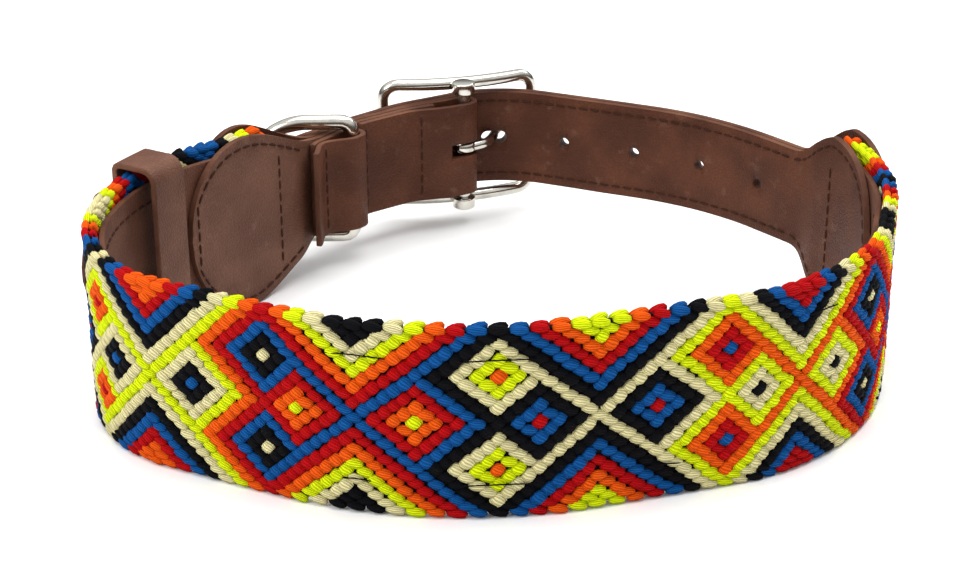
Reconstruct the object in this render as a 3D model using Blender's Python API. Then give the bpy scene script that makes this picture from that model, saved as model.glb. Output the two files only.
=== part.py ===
"""Flat dog collar: a hand-knotted band on a leather lining, with a leather buckle strap,
a leather strap with punched holes, a D-ring, a centre-bar buckle and a keeper loop.

Metres, +Z up. The collar stands on its lower edge. The origin is on the ground at the
middle of the ring, and the buckle is at the back, towards +Y.

Places along the collar are given by u, the distance along the plan curve, anticlockwise
seen from above, from the middle of the corner at the buckle. Places across it are given
by n, the distance outwards from the outer face of the woven band.
"""
import math

import bpy
import bmesh
from mathutils import Matrix, Vector

for leftover in list(bpy.data.objects):
    bpy.data.objects.remove(leftover, do_unlink=True)

MM = 0.001
GAP = 0.3 * MM                      # between pieces that touch

# ---- plan of the band's outer face: corner (x, y) and its rounding radius -----------
PLAN_CORNERS = (
    (-0.6, 85.7, 30.0),             # buckle
    (-40.7, 56.2, 44.0),            # D-ring
    (-91.0, -12.3, 56.0),            # keeper
    (-93.6, -55.8, 38.0),
    (-13.3, -95.0, 92.0),           # front
    (82.8, -63.8, 60.0),
    (100.0, 12.7, 66.0),
    (58.8, 61.2, 80.0),
)
KEEPER_CORNER = 2

# ---- woven band, lining and leather --------------------------------------------------
BAND_HEIGHT = 45.0 * MM
BAND_THICKNESS = 3.4 * MM
LINING_HEIGHT = 38.0 * MM
LINING_THICKNESS = 1.3 * MM
LEATHER = 1.5 * MM
STRAP_WIDTH = 25.8 * MM
SHIELD_HEIGHT = 45.4 * MM
SHIELD_TO_BAND = 21.5 * MM          # from the start of the flare to the band's end
BLUNT_TIP = 2.0 * MM                # half height that a rounded end is cut off at
LIFT = 2.0 * MM                     # the band rides this high over the keeper
LIFT_RAMP = 30.0 * MM
SPREAD_START = 2.0 * MM             # leather layers part over this stretch of the flare
SPREAD_END = 13.0 * MM

# ---- places along the collar ---------------------------------------------------------
ROD_AT = 12.5 * MM                  # buckle's centre bar
FOLD_REACH = 19.0 * MM              # stretch on which the fold closes
FOLD_LENGTH = 33.5 * MM             # return flap, from the centre bar
RING_AT = 53.0 * MM                 # D-ring's straight bar
LEFT_SHIELD_AT = 60.5 * MM           # where each strap starts to widen to its shield
RIGHT_SHIELD_AT = -93.5 * MM
KEEPER_FROM_ARC = 6.4 * MM          # keeper's middle, from the start of its arc
TAIL_PAST_KEEPER = 16.0 * MM
TAIL_RISE = 0.9 * MM                # the tail lies on the shield's seam
HOLE_AT = -1.4 * MM                 # hole that the prong is in
HOLE_PITCH = 20.1 * MM
HOLES_RIGHT = 4
HOLES_LEFT = 3
HOLE_RADIUS = 1.4 * MM
PRONG_SLOT = (8.5 * MM, 4.2 * MM)   # stretched hole round the prong, length and width
SLOT_SHIFT = 1.9 * MM               # how far that hole is stretched towards the buckle
CROSSING = 26.0 * MM                # stretch on which the hole strap rises over the buckle
TIP = 12.0 * MM                     # length of the tail's rounded end
TAPER = 1.2 * MM                    # the tail is narrower by this on each side

# ---- hardware ------------------------------------------------------------------------
ROD_RADIUS = 1.75 * MM
BAR_RADIUS = 1.75 * MM
FRAME_HALF_LENGTH = 20.6 * MM       # centre bar to end bar
FRAME_HALF_HEIGHT = 16.5 * MM       # middle of the rails
FRAME_CORNER = 4.0 * MM
FRAME_RISE = 7.4 * MM               # end bars stand this far outside the centre bar
FRAME_BOW = 3.2 * MM                # rails dip inwards at the middle
FRAME_HEADING = math.radians(14.6)
EYE_RADIUS = 3.1 * MM
PRONG_RADIUS = 1.35 * MM
RING_WIRE = 2.0 * MM
RING_HALF_HEIGHT = 15.75 * MM
RING_DEPTH = 27.0 * MM
RING_CORNER = 2.6 * MM
RING_LEAN = math.radians(52.0)      # between the ring and the strap
TAB_HEIGHT = 25.6 * MM
TAB_SEAM = 10.0 * MM                # from the ring's bar to the tab's seam
TAB_TAIL = 17.5 * MM                # from the ring's bar to the tab's free end
TAB_CURL = 1.6 * MM                 # the free end stands off by this much

# ---- keeper --------------------------------------------------------------------------
KEEPER_WIDTH = 11.0 * MM
KEEPER_THICKNESS = 1.5 * MM
KEEPER_INSIDE = -8.6 * MM           # n of its inner wall's near face
KEEPER_OUTSIDE = 7.9 * MM           # n of its outer wall's near face, over the tail
KEEPER_HUG = 1.2 * MM               # the same above and below the tail
KEEPER_CORNER_RADIUS = 3.2 * MM
KEEPER_BEND_RADIUS = 2.4 * MM
KEEPER_BULGE = (13.9 * MM, 17.9 * MM)   # half heights over which it closes on the band

# ---- seams ---------------------------------------------------------------------------
THREAD_RADIUS = 0.35 * MM
SEAM_INSET = 2.4 * MM
LINING_SEAM_INSET = 4.4 * MM

# ---- layers: n of each layer's middle ------------------------------------------------
HALF = LEATHER / 2
STEP = LEATHER + GAP                                    # one leather layer and its gap
LINING_N = -BAND_THICKNESS - GAP - LINING_THICKNESS / 2
OUTER_SHIELD_N = GAP + HALF
INNER_SHIELD_N = LINING_N - LINING_THICKNESS / 2 - GAP - HALF
MIDDLE_N = (OUTER_SHIELD_N + INNER_SHIELD_N) / 2
OUTER_STRAP_N = MIDDLE_N + STEP / 2
INNER_STRAP_N = MIDDLE_N - STEP / 2
ROD_N = -7.0 * MM
FOLD_OUTER_N = ROD_N + ROD_RADIUS + GAP + HALF
FOLD_INNER_N = ROD_N - ROD_RADIUS - GAP - HALF

LEATHER_BROWN = (0.085, 0.036, 0.022, 1.0)
LEATHER_DARK = (0.060, 0.026, 0.016, 1.0)
THREAD_BROWN = (0.035, 0.014, 0.008, 1.0)
NICKEL = (0.72, 0.70, 0.66, 1.0)
BAND_RED = (0.55, 0.03, 0.02, 1.0)


# ======================================================================================
# Plan curve
# ======================================================================================
class Outline:
    """Closed curve of straight runs joined by round corners, given as (x, y, radius)."""

    def __init__(self, corners):
        points = [Vector((x, y)) for x, y, _ in corners]
        radii = [radius for _, _, radius in corners]
        count = len(points)
        self.arcs = []
        for i, point in enumerate(points):
            before = point - points[i - 1]
            after = points[(i + 1) % count] - point
            heading = math.atan2(before.y, before.x)
            turn = math.remainder(math.atan2(after.y, after.x) - heading, 2 * math.pi)
            reach = radii[i] * math.tan(abs(turn) / 2)
            start = point - before.normalized() * reach
            end = point + after.normalized() * reach
            side = math.copysign(radii[i], turn)
            centre = start + Vector((-math.sin(heading), math.cos(heading))) * side
            self.arcs.append((start, end, centre, side, heading, turn))
        self.starts = []
        total = 0.0
        for i, arc in enumerate(self.arcs):
            self.starts.append(total)
            following = self.arcs[(i + 1) % count]
            total += arc[3] * arc[5] + (following[0] - arc[1]).length
        self.length = total
        self.shift = self.arcs[0][3] * self.arcs[0][5] / 2

    def at(self, u):
        """Point on the curve and its heading at distance u."""
        s = (u + self.shift) % self.length
        index = max(i for i, start in enumerate(self.starts) if start <= s)
        start, end, centre, side, heading, turn = self.arcs[index]
        s -= self.starts[index]
        if s <= side * turn:
            heading += s / side
            return centre + Vector((math.sin(heading), -math.cos(heading))) * side, heading
        heading += turn
        ahead = Vector((math.cos(heading), math.sin(heading)))
        return end + ahead * (s - side * turn), heading

    def place(self, u, n):
        """Point n outside the curve at distance u."""
        point, heading = self.at(u)
        return point + Vector((math.sin(heading), -math.cos(heading))) * n

    def arc_range(self, index):
        """u at the start and the end of a corner."""
        start = self.starts[index] - self.shift
        return start, start + self.arcs[index][3] * self.arcs[index][5]

    def distances(self, bend, pitch):
        """Distances all round: one for each bend of an arc and each pitch of a straight run."""
        values = []
        for i, arc in enumerate(self.arcs):
            start, end = self.arc_range(i)
            steps = max(1, round(abs(arc[5]) / bend))
            values += [start + (end - start) * j / steps for j in range(steps)]
            run = (self.arcs[(i + 1) % len(self.arcs)][0] - arc[1]).length
            if run > 0.01 * MM:
                steps = max(1, round(run / pitch))
                values += [end + run * j / steps for j in range(steps)]
        return values


plan = Outline([(x * MM, y * MM, radius * MM) for x, y, radius in PLAN_CORNERS])
ARC_START, ARC_END = plan.arc_range(KEEPER_CORNER)
KEEPER_AT = ARC_START + KEEPER_FROM_ARC
TAIL_END = KEEPER_AT + TAIL_PAST_KEEPER
BAND_START = LEFT_SHIELD_AT + SHIELD_TO_BAND
BAND_END = plan.length + RIGHT_SHIELD_AT - SHIELD_TO_BAND


def smooth(value, low, high):
    """0 up to low, 1 from high on, and a smooth rise between them."""
    t = min(1.0, max(0.0, (value - low) / (high - low)))
    return t * t * (3 - 2 * t)


def lift(u):
    """Height that the collar is raised by, where it rides over the keeper."""
    u = u % plan.length
    rise = smooth(u, ARC_START - LIFT_RAMP, ARC_START)
    return LIFT * rise * (1 - smooth(u, ARC_END, ARC_END + LIFT_RAMP))


def middle(u):
    """Height of the middle line of the straps and shields."""
    return SHIELD_HEIGHT / 2 + lift(u)


def band_middle(u):
    """Height of the middle line of the band and its lining."""
    return BAND_HEIGHT / 2 + lift(u)


def signed(u):
    """The same place, as a distance to one side of the buckle or the other."""
    return (u + plan.length / 2) % plan.length - plan.length / 2


class Shield:
    """End of a leather layer: it widens from the strap's width, then ends in a half round."""

    def __init__(self, start, direction, flare, rounding):
        self.start = start
        self.direction = direction
        self.flare = flare
        self.rounding = rounding
        self.end = start + direction * (flare + rounding)

    def half(self, distance):
        """Half height at a distance past the start of the flare."""
        wide, narrow = SHIELD_HEIGHT / 2, STRAP_WIDTH / 2
        if distance <= self.flare:
            return narrow + (wide - narrow) * smooth(distance, 0.0, self.flare)
        t = min(1.0, (distance - self.flare) / self.rounding)
        return wide * math.sqrt(max(0.0, 1 - t * t))

    def half_at(self, u):
        """Half height at a place along the collar."""
        return self.half((signed(u) - self.start) * self.direction)


LEFT_INNER = Shield(LEFT_SHIELD_AT, 1, 31.5 * MM, 20.0 * MM)
LEFT_OUTER = Shield(LEFT_SHIELD_AT, 1, 27.5 * MM, 16.0 * MM)
RIGHT_INNER = Shield(RIGHT_SHIELD_AT, -1, 21.0 * MM, 30.0 * MM)
RIGHT_OUTER = Shield(RIGHT_SHIELD_AT, -1, 18.0 * MM, 23.0 * MM)


def outer_n(u):
    """n of the buckle strap's outer layer, and of the hole strap's on its own side."""
    u = signed(u)
    spread = OUTER_SHIELD_N - OUTER_STRAP_N
    if u < 0:
        return OUTER_STRAP_N + spread * smooth(RIGHT_SHIELD_AT - u, SPREAD_START, SPREAD_END)
    n = FOLD_OUTER_N + (OUTER_STRAP_N - FOLD_OUTER_N) * smooth(u, ROD_AT, ROD_AT + FOLD_REACH)
    return n + spread * smooth(u - LEFT_SHIELD_AT, SPREAD_START, SPREAD_END)


def inner_n(u):
    """n of the inner layer under outer_n."""
    u = signed(u)
    spread = OUTER_STRAP_N - INNER_STRAP_N
    shield = (OUTER_SHIELD_N - INNER_SHIELD_N) - spread
    past = max(u - LEFT_SHIELD_AT, RIGHT_SHIELD_AT - u)
    return outer_n(u) - spread - shield * smooth(past, SPREAD_START, SPREAD_END)


def hole_strap_n(u, layer):
    """n of the hole strap: layer 0 inside, 1 outside. It passes outside the buckle strap."""
    if u >= ROD_AT:
        return outer_n(u) + (1 + layer) * STEP + TAIL_RISE * smooth(u, RING_AT, LEFT_SHIELD_AT)
    before = min(u, ROD_AT - CROSSING)
    own = outer_n(before) if layer else inner_n(before)
    over = FOLD_OUTER_N + (1 + layer) * STEP
    return own + (over - own) * smooth(u, ROD_AT - CROSSING, ROD_AT)


# ======================================================================================
# Making objects
# ======================================================================================
def material(name, colour, roughness, metallic=0.0):
    """Principled BSDF of one colour."""
    made = bpy.data.materials.new(name)
    made.use_nodes = True
    shader = made.node_tree.nodes["Principled BSDF"]
    shader.inputs["Base Color"].default_value = colour
    shader.inputs["Roughness"].default_value = roughness
    shader.inputs["Metallic"].default_value = metallic
    made.diffuse_color = colour
    return made


def finish(name, bm, look, origin=None):
    """Object of a bmesh, with its origin moved to a place."""
    bmesh.ops.recalc_face_normals(bm, faces=bm.faces)
    mesh = bpy.data.meshes.new(name)
    bm.to_mesh(mesh)
    bm.free()
    made = bpy.data.objects.new(name, mesh)
    bpy.context.collection.objects.link(made)
    mesh.materials.append(look)
    if origin is not None:
        mesh.transform(Matrix.Translation(-origin))
        made.location = origin
    return made


def stations(low, high, pitch, round_low=0.0, round_high=0.0):
    """Distances from low to high, closer together over the rounded ends."""
    steps = 9
    values = [low]
    if round_low:
        values = [low + round_low * (1 - math.cos(math.pi / 2 * i / steps)) for i in range(steps + 1)]
    first = values[-1]
    last = high - round_high
    count = max(1, round((last - first) / pitch))
    values += [first + (last - first) * i / count for i in range(1, count + 1)]
    if round_high:
        values += [last + round_high * math.sin(math.pi / 2 * i / steps) for i in range(1, steps + 1)]
    return values


def strip(name, path, low, high, thickness, look):
    """Sheet that follows a path in plan between two heights, given its thickness."""
    bm = bmesh.new()
    bottom = bm.verts.new((path[0].x, path[0].y, low[0]))
    top = bm.verts.new((path[0].x, path[0].y, high[0]))
    edge = bm.edges.new((bottom, top))
    for place, z_low, z_high in list(zip(path, low, high))[1:]:
        grown = bmesh.ops.extrude_edge_only(bm, edges=[edge])["geom"]
        edge = next(item for item in grown if isinstance(item, bmesh.types.BMEdge))
        for vert in edge.verts:
            at_top = vert.co.z > (bottom.co.z + top.co.z) / 2
            vert.co = (place.x, place.y, z_high if at_top else z_low)
        bottom, top = sorted(edge.verts, key=lambda vert: vert.co.z)
    made = finish(name, bm, look)
    solid = made.modifiers.new("thickness", "SOLIDIFY")
    solid.thickness = thickness
    solid.offset = 0.0
    solid.use_even_offset = True
    return made


def layer(name, places, n_of, half_of, thickness, look, middle_of=middle):
    """Strip that follows the collar at n_of(u), half_of(u) high to each side of its middle."""
    path = [plan.place(u, n_of(u)) for u in places]
    halves = [max(BLUNT_TIP, half_of(u)) for u in places]
    low = [middle_of(u) - half for u, half in zip(places, halves)]
    high = [middle_of(u) + half for u, half in zip(places, halves)]
    return strip(name, path, low, high, thickness, look)


def thread(name, points, look):
    """Round thread through points."""
    curve = bpy.data.curves.new(name, "CURVE")
    curve.dimensions = "3D"
    curve.bevel_depth = THREAD_RADIUS
    curve.bevel_resolution = 0
    curve.use_fill_caps = True
    spline = curve.splines.new("POLY")
    spline.points.add(len(points) - 1)
    for spot, point in zip(spline.points, points):
        spot.co = (*point, 1.0)
    made = bpy.data.objects.new(name, curve)
    bpy.context.collection.objects.link(made)
    curve.materials.append(look)
    return made


def sweep(name, rings, look, closed=True, origin=None):
    """Solid through rings of points, each ring a section; closed joins the last to the first."""
    bm = bmesh.new()
    made = []
    for ring in rings:
        verts = [bm.verts.new(point) for point in ring]
        made.append([bm.edges.new((verts[i - 1], verts[i])) for i in range(len(verts))])
    pairs = list(zip(made, made[1:]))
    if closed:
        pairs.append((made[-1], made[0]))
    for first, second in pairs:
        bmesh.ops.bridge_loops(bm, edges=first + second)
    if not closed:
        bmesh.ops.holes_fill(bm, edges=made[0] + made[-1])
    return finish(name, bm, look, origin)


def section(centre, across, along, half_across, half_along, sides=8, power=1.0):
    """Ring of points round a centre: an ellipse, or a rounded box as power falls."""
    ring = []
    for i in range(sides):
        angle = 2 * math.pi * (i + 0.5) / sides
        a, b = math.cos(angle), math.sin(angle)
        a = math.copysign(abs(a) ** power, a) * half_across
        b = math.copysign(abs(b) ** power, b) * half_along
        ring.append(centre + across * a + along * b)
    return ring


def boolean(target, cutter, operation):
    """Cut or join one object with another, which becomes a hidden guide."""
    modifier = target.modifiers.new(cutter.name, "BOOLEAN")
    modifier.operation = operation
    modifier.object = cutter
    modifier.solver = "EXACT"
    cutter.hide_render = True
    cutter.display_type = "WIRE"


def cylinder(name, centre, axis, radius, length, sides, look):
    """Closed cylinder about an axis."""
    bm = bmesh.new()
    bmesh.ops.create_cone(bm, cap_ends=True, segments=sides, radius1=radius, radius2=radius,
                          depth=length)
    turn = Vector((0, 0, 1)).rotation_difference(axis).to_matrix().to_4x4()
    bmesh.ops.transform(bm, matrix=Matrix.Translation(centre) @ turn, verts=bm.verts)
    return finish(name, bm, look)


leather = material("leather", LEATHER_BROWN, 0.55)
dark_leather = material("lining_leather", LEATHER_DARK, 0.6)
thread_look = material("thread", THREAD_BROWN, 0.8)
nickel = material("nickel", NICKEL, 0.25, 1.0)
knots = material("knotted_cotton", BAND_RED, 0.9)


# ======================================================================================
# Band and lining
# ======================================================================================
band_places = stations(BAND_START, BAND_END, 3.2 * MM)
layer("woven_band", band_places, lambda u: -BAND_THICKNESS / 2, lambda u: BAND_HEIGHT / 2,
      BAND_THICKNESS, knots, band_middle)
layer("band_lining", band_places, lambda u: LINING_N, lambda u: LINING_HEIGHT / 2,
      LINING_THICKNESS, dark_leather, band_middle)


# ======================================================================================
# Buckle strap: outer layer with its fold round the centre bar, and inner layer
# ======================================================================================
def rod_place(angle, radius):
    """Point round the centre bar; angle 0 is outwards, growing towards the hole strap."""
    centre = plan.place(ROD_AT, ROD_N)
    _, heading = plan.at(ROD_AT)
    out = Vector((math.sin(heading), -math.cos(heading)))
    back = -Vector((math.cos(heading), math.sin(heading)))
    return centre + out * radius * math.cos(angle) + back * radius * math.sin(angle)


def flap_n(u):
    """n of the return flap, which closes on the inner layer past the centre bar."""
    rest = inner_n(u) - STEP - 0.1 * MM
    return FOLD_INNER_N + (rest - FOLD_INNER_N) * smooth(u, ROD_AT, ROD_AT + FOLD_REACH)


fold_radius = ROD_RADIUS + GAP + HALF
outer_places = stations(ROD_AT, LEFT_OUTER.end, 3.2 * MM, 0.0, LEFT_OUTER.rounding)[::-1]
fold_turns = [math.pi * i / 12 for i in range(1, 12)]
flap_places = stations(ROD_AT, ROD_AT + FOLD_LENGTH, 3.2 * MM)

path = [plan.place(u, outer_n(u)) for u in outer_places]
path += [rod_place(angle, fold_radius) for angle in fold_turns]
path += [plan.place(u, flap_n(u)) for u in flap_places]
halves = [max(BLUNT_TIP, LEFT_OUTER.half_at(u)) for u in outer_places]
halves += [STRAP_WIDTH / 2] * (len(fold_turns) + len(flap_places))
mids = [middle(u) for u in outer_places] + [middle(ROD_AT)] * (len(fold_turns) + len(flap_places))
buckle_strap = strip("buckle_strap_outer", path, [m - h for m, h in zip(mids, halves)],
                     [m + h for m, h in zip(mids, halves)], LEATHER, leather)

rod_centre = plan.place(ROD_AT, ROD_N)
slot = bmesh.new()
bmesh.ops.create_cube(slot, size=1.0)
bmesh.ops.scale(slot, vec=(11 * MM, 12 * MM, 2 * (PRONG_RADIUS + 0.6 * MM)), verts=slot.verts)
bmesh.ops.rotate(slot, cent=(0, 0, 0), matrix=Matrix.Rotation(plan.at(ROD_AT)[1], 3, "Z"),
                 verts=slot.verts)
bmesh.ops.translate(slot, vec=(rod_centre.x, rod_centre.y, middle(ROD_AT)), verts=slot.verts)
boolean(buckle_strap, finish("prong_slot", slot, leather), "DIFFERENCE")

inner_places = stations(ROD_AT + 9 * MM, LEFT_INNER.end, 3.2 * MM, 0.0, LEFT_INNER.rounding)
layer("buckle_strap_inner", inner_places, inner_n, LEFT_INNER.half_at, LEATHER, leather)


# ======================================================================================
# Hole strap: two layers, from the right shield through the buckle to the keeper
# ======================================================================================
def hole_strap_half(u, shield):
    """Half height of a layer of the hole strap, from its shield to its rounded tip."""
    if u < 0:
        return shield.half_at(u)
    half = STRAP_WIDTH / 2 - TAPER * smooth(u, ROD_AT, RING_AT)
    t = max(0.0, (u - TAIL_END + TIP) / TIP)
    return half * math.sqrt(max(0.0, 1 - t * t))


hole_cutters = []
for k in range(-HOLES_LEFT, HOLES_RIGHT + 1):
    u = HOLE_AT - k * HOLE_PITCH if k else HOLE_AT + SLOT_SHIFT
    _, heading = plan.at(u)
    out = Vector((math.sin(heading), -math.cos(heading), 0.0))
    spot = plan.place(u, hole_strap_n(u, 0) + STEP / 2)
    centre = Vector((spot.x, spot.y, middle(u)))
    if k:
        cutter = cylinder(f"hole_{k + HOLES_LEFT}", centre, out, HOLE_RADIUS, 8 * MM, 12, leather)
    else:
        cutter = cylinder("hole_slot", Vector(), Vector((0, 0, 1)), PRONG_SLOT[1] / 2, 9 * MM, 16,
                          leather)
        for vert in cutter.data.vertices:
            vert.co.x += math.copysign((PRONG_SLOT[0] - PRONG_SLOT[1]) / 2, vert.co.x)
        lay = Matrix.Rotation(heading, 4, "Z") @ Matrix.Rotation(math.pi / 2, 4, "X")
        cutter.data.transform(Matrix.Translation(centre) @ lay)
    hole_cutters.append(cutter)
for side, number, shield in (("inner", 0, RIGHT_INNER), ("outer", 1, RIGHT_OUTER)):
    places = stations(shield.end, TAIL_END, 3.2 * MM, shield.rounding, TIP)
    made = layer(f"hole_strap_{side}", places, lambda u, number=number: hole_strap_n(u, number),
                 lambda u, shield=shield: hole_strap_half(u, shield), LEATHER, leather)
    for cutter in hole_cutters:
        boolean(made, cutter, "DIFFERENCE")


# ======================================================================================
# Buckle: frame, centre bar and prong
# ======================================================================================
buckle_x = Vector((math.cos(FRAME_HEADING), math.sin(FRAME_HEADING), 0.0))
buckle_y = Vector((-math.sin(FRAME_HEADING), math.cos(FRAME_HEADING), 0.0))
buckle_z = Vector((0.0, 0.0, 1.0))
buckle_origin = Vector((rod_centre.x, rod_centre.y, middle(ROD_AT)))


def buckle_place(x, y, z):
    """Point in the buckle's own directions: x to the prong's tip, y outwards, z up."""
    return buckle_origin + buckle_x * x + buckle_y * y + buckle_z * z


def rounded_box(half_x, half_z, radius):
    """Outline of a box with rounded corners."""
    return Outline([(half_x, -half_z, radius), (half_x, half_z, radius),
                    (-half_x, half_z, radius), (-half_x, -half_z, radius)])


def around(outline, bend, pitch):
    """Each point all round an outline, with the direction out of it."""
    for u in outline.distances(bend, pitch):
        point, heading = outline.at(u)
        yield point, Vector((math.sin(heading), -math.cos(heading)))


def frame_rise(x):
    """How far the frame's middle line stands outside the centre bar."""
    return FRAME_RISE - FRAME_BOW * (1 - (x / FRAME_HALF_LENGTH) ** 2)


rings = []
for point, out in around(rounded_box(FRAME_HALF_LENGTH, FRAME_HALF_HEIGHT, FRAME_CORNER),
                         math.radians(18), 5 * MM):
    centre = buckle_place(point.x, frame_rise(point.x), point.y)
    rings.append(section(centre, buckle_x * out.x + buckle_z * out.y, buckle_y,
                         BAR_RADIUS * 0.95, BAR_RADIUS, 10, 0.8))
frame = sweep("buckle_frame", rings, nickel, origin=buckle_origin)

rail_top = FRAME_HALF_HEIGHT + BAR_RADIUS * 0.95
for sign, side in ((1, "upper"), (-1, "lower")):
    eye = cylinder(f"{side}_eye", buckle_place(0, 0.3 * MM, sign * FRAME_HALF_HEIGHT), buckle_z,
                   EYE_RADIUS, 2 * BAR_RADIUS * 0.9, 20, nickel)
    boolean(frame, eye, "UNION")
bore = cylinder("rod_bore", buckle_origin, buckle_z, ROD_RADIUS + GAP, 4 * FRAME_HALF_HEIGHT, 20,
                nickel)
boolean(frame, bore, "DIFFERENCE")

rod = cylinder("buckle_centre_bar", buckle_origin, buckle_z, ROD_RADIUS, 2 * rail_top - 0.6 * MM, 20,
               nickel)
rod.data.transform(Matrix.Translation(-buckle_origin))
rod.location = buckle_origin

PRONG_PATH = (                      # x, y in the buckle's directions, in mm
    (2.4, -0.5), (4.4, -0.5), (6.4, 0.4), (8.1, 2.5), (9.6, 5.2), (11.1, 7.8), (13.0, 9.8),
    (15.8, 10.9), (19.0, 11.0), (20.6, 10.8), (21.7, 10.4),
)
prong_rings = []
for i, (x, y) in enumerate(PRONG_PATH):
    before = PRONG_PATH[max(0, i - 1)]
    after = PRONG_PATH[min(len(PRONG_PATH) - 1, i + 1)]
    ahead = Vector((after[0] - before[0], after[1] - before[1])).normalized()
    across = buckle_x * -ahead.y + buckle_y * ahead.x
    size = PRONG_RADIUS * (0.8 if i == len(PRONG_PATH) - 1 else 1.0)
    prong_rings.append(section(buckle_place(x * MM, y * MM, 0), across, buckle_z, size, size, 10))
prong = sweep("prong", prong_rings, nickel, closed=False, origin=buckle_origin)
ring_outside = ROD_RADIUS + GAP + 1.3 * MM
eye = cylinder("prong_eye", buckle_origin, buckle_z, ring_outside, 2 * PRONG_RADIUS, 24, nickel)
boolean(prong, eye, "UNION")
bore = cylinder("prong_bore", buckle_origin, buckle_z, ROD_RADIUS + GAP, 12 * MM, 24, nickel)
boolean(prong, bore, "DIFFERENCE")


# ======================================================================================
# D-ring and its tab
# ======================================================================================
ring_rest_n = INNER_STRAP_N - STEP - HALF - GAP - RING_WIRE
ring_spot = plan.place(RING_AT, ring_rest_n)
ring_origin = Vector((ring_spot.x, ring_spot.y, middle(RING_AT)))
_, lean_heading = plan.at(LEFT_SHIELD_AT)
lean_along = Vector((math.cos(lean_heading), math.sin(lean_heading), 0.0))
lean_out = Vector((math.sin(lean_heading), -math.cos(lean_heading), 0.0))
ring_along = lean_along * math.cos(RING_LEAN) + lean_out * math.sin(RING_LEAN)
ring_across = lean_out * math.cos(RING_LEAN) - lean_along * math.sin(RING_LEAN)

ring_outline = Outline([(0.0, -RING_HALF_HEIGHT, RING_CORNER),
                        (RING_DEPTH, -RING_HALF_HEIGHT, RING_HALF_HEIGHT),
                        (RING_DEPTH, RING_HALF_HEIGHT, RING_HALF_HEIGHT),
                        (0.0, RING_HALF_HEIGHT, RING_CORNER)])
rings = []
for point, out in around(ring_outline, math.radians(15), 6 * MM):
    centre = ring_origin + ring_along * point.x + buckle_z * point.y
    rings.append(section(centre, ring_along * out.x + buckle_z * out.y, ring_across,
                         RING_WIRE, RING_WIRE, 10))
sweep("d_ring", rings, nickel, origin=ring_origin)


def tab_place(angle, radius):
    """Point round the ring's bar; angle 0 is outwards, growing towards the buckle."""
    _, heading = plan.at(RING_AT)
    out = Vector((math.sin(heading), -math.cos(heading)))
    back = -Vector((math.cos(heading), math.sin(heading)))
    return ring_spot + out * radius * math.cos(angle) + back * radius * math.sin(angle)


tab_radius = RING_WIRE + GAP + HALF
tab_top_n = ring_rest_n - tab_radius


def closed_n(u):
    """n of the tab's upper layer where it lies on its lower one."""
    return inner_n(u) - 2 * STEP


tab_path = [plan.place(u, inner_n(u) - STEP)
            for u in stations(RING_AT + 1.6 * MM, RING_AT + TAB_SEAM + 3 * MM, 3 * MM)[::-1]]
tab_path += [tab_place(math.pi * i / 12, tab_radius) for i in range(1, 12)]
for u in stations(RING_AT, RING_AT + TAB_TAIL, 1.8 * MM):
    closing = smooth(u - RING_AT, 1.5 * MM, TAB_SEAM)
    curl = TAB_CURL * smooth(u - RING_AT, TAB_SEAM + 1 * MM, TAB_TAIL)
    tab_path.append(plan.place(u, tab_top_n + (closed_n(u) - tab_top_n) * closing - curl))
tab_mid = middle(RING_AT)
strip("dring_tab", tab_path, [tab_mid - TAB_HEIGHT / 2] * len(tab_path),
      [tab_mid + TAB_HEIGHT / 2] * len(tab_path), LEATHER, leather)


# ======================================================================================
# Keeper loop
# ======================================================================================
keeper_point, keeper_heading = plan.at(KEEPER_AT)
keeper_out = Vector((math.sin(keeper_heading), -math.cos(keeper_heading), 0.0))
keeper_along = Vector((math.cos(keeper_heading), math.sin(keeper_heading), 0.0))
keeper_centre = Vector((*plan.arcs[KEEPER_CORNER][2], 0.0))
half_wall = KEEPER_THICKNESS / 2
keeper_top = BAND_HEIGHT + LIFT + 0.7 * MM + half_wall
inside_n = KEEPER_INSIDE - half_wall
outside_n = KEEPER_OUTSIDE + half_wall
hug_n = KEEPER_HUG + half_wall
bulge_z = middle(KEEPER_AT)
keeper_outline = Outline([
    (inside_n, half_wall, KEEPER_CORNER_RADIUS),
    (hug_n, half_wall, KEEPER_CORNER_RADIUS / 2),
    (hug_n, bulge_z - KEEPER_BULGE[1], KEEPER_BEND_RADIUS),
    (outside_n, bulge_z - KEEPER_BULGE[0], KEEPER_BEND_RADIUS),
    (outside_n, bulge_z + KEEPER_BULGE[0], KEEPER_BEND_RADIUS),
    (hug_n, bulge_z + KEEPER_BULGE[1], KEEPER_BEND_RADIUS),
    (hug_n, keeper_top, KEEPER_CORNER_RADIUS / 2),
    (inside_n, keeper_top, KEEPER_CORNER_RADIUS),
])
rings = []
for point, out in around(keeper_outline, math.radians(20), 6 * MM):
    centre = Vector((*keeper_point, point.y)) + keeper_out * point.x
    wall = (keeper_out * out.x + buckle_z * out.y) * half_wall
    width = keeper_along * (KEEPER_WIDTH / 2)
    rings.append([centre + wall + width, centre - wall + width, centre - wall - width,
                  centre + wall - width])
sweep("keeper_loop", rings, leather, origin=keeper_centre)


# ======================================================================================
# Seam threads
# ======================================================================================
ON_FACE = HALF + GAP + THREAD_RADIUS


def seam(name, route, n_of, side, middle_of=middle):
    """Thread over a leather face: route gives (u, height from the middle line)."""
    points = []
    for u, height in route:
        spot = plan.place(u, n_of(u) + side * ON_FACE)
        points.append((spot.x, spot.y, middle_of(u) + height))
    return thread(name, points, thread_look)


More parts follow.
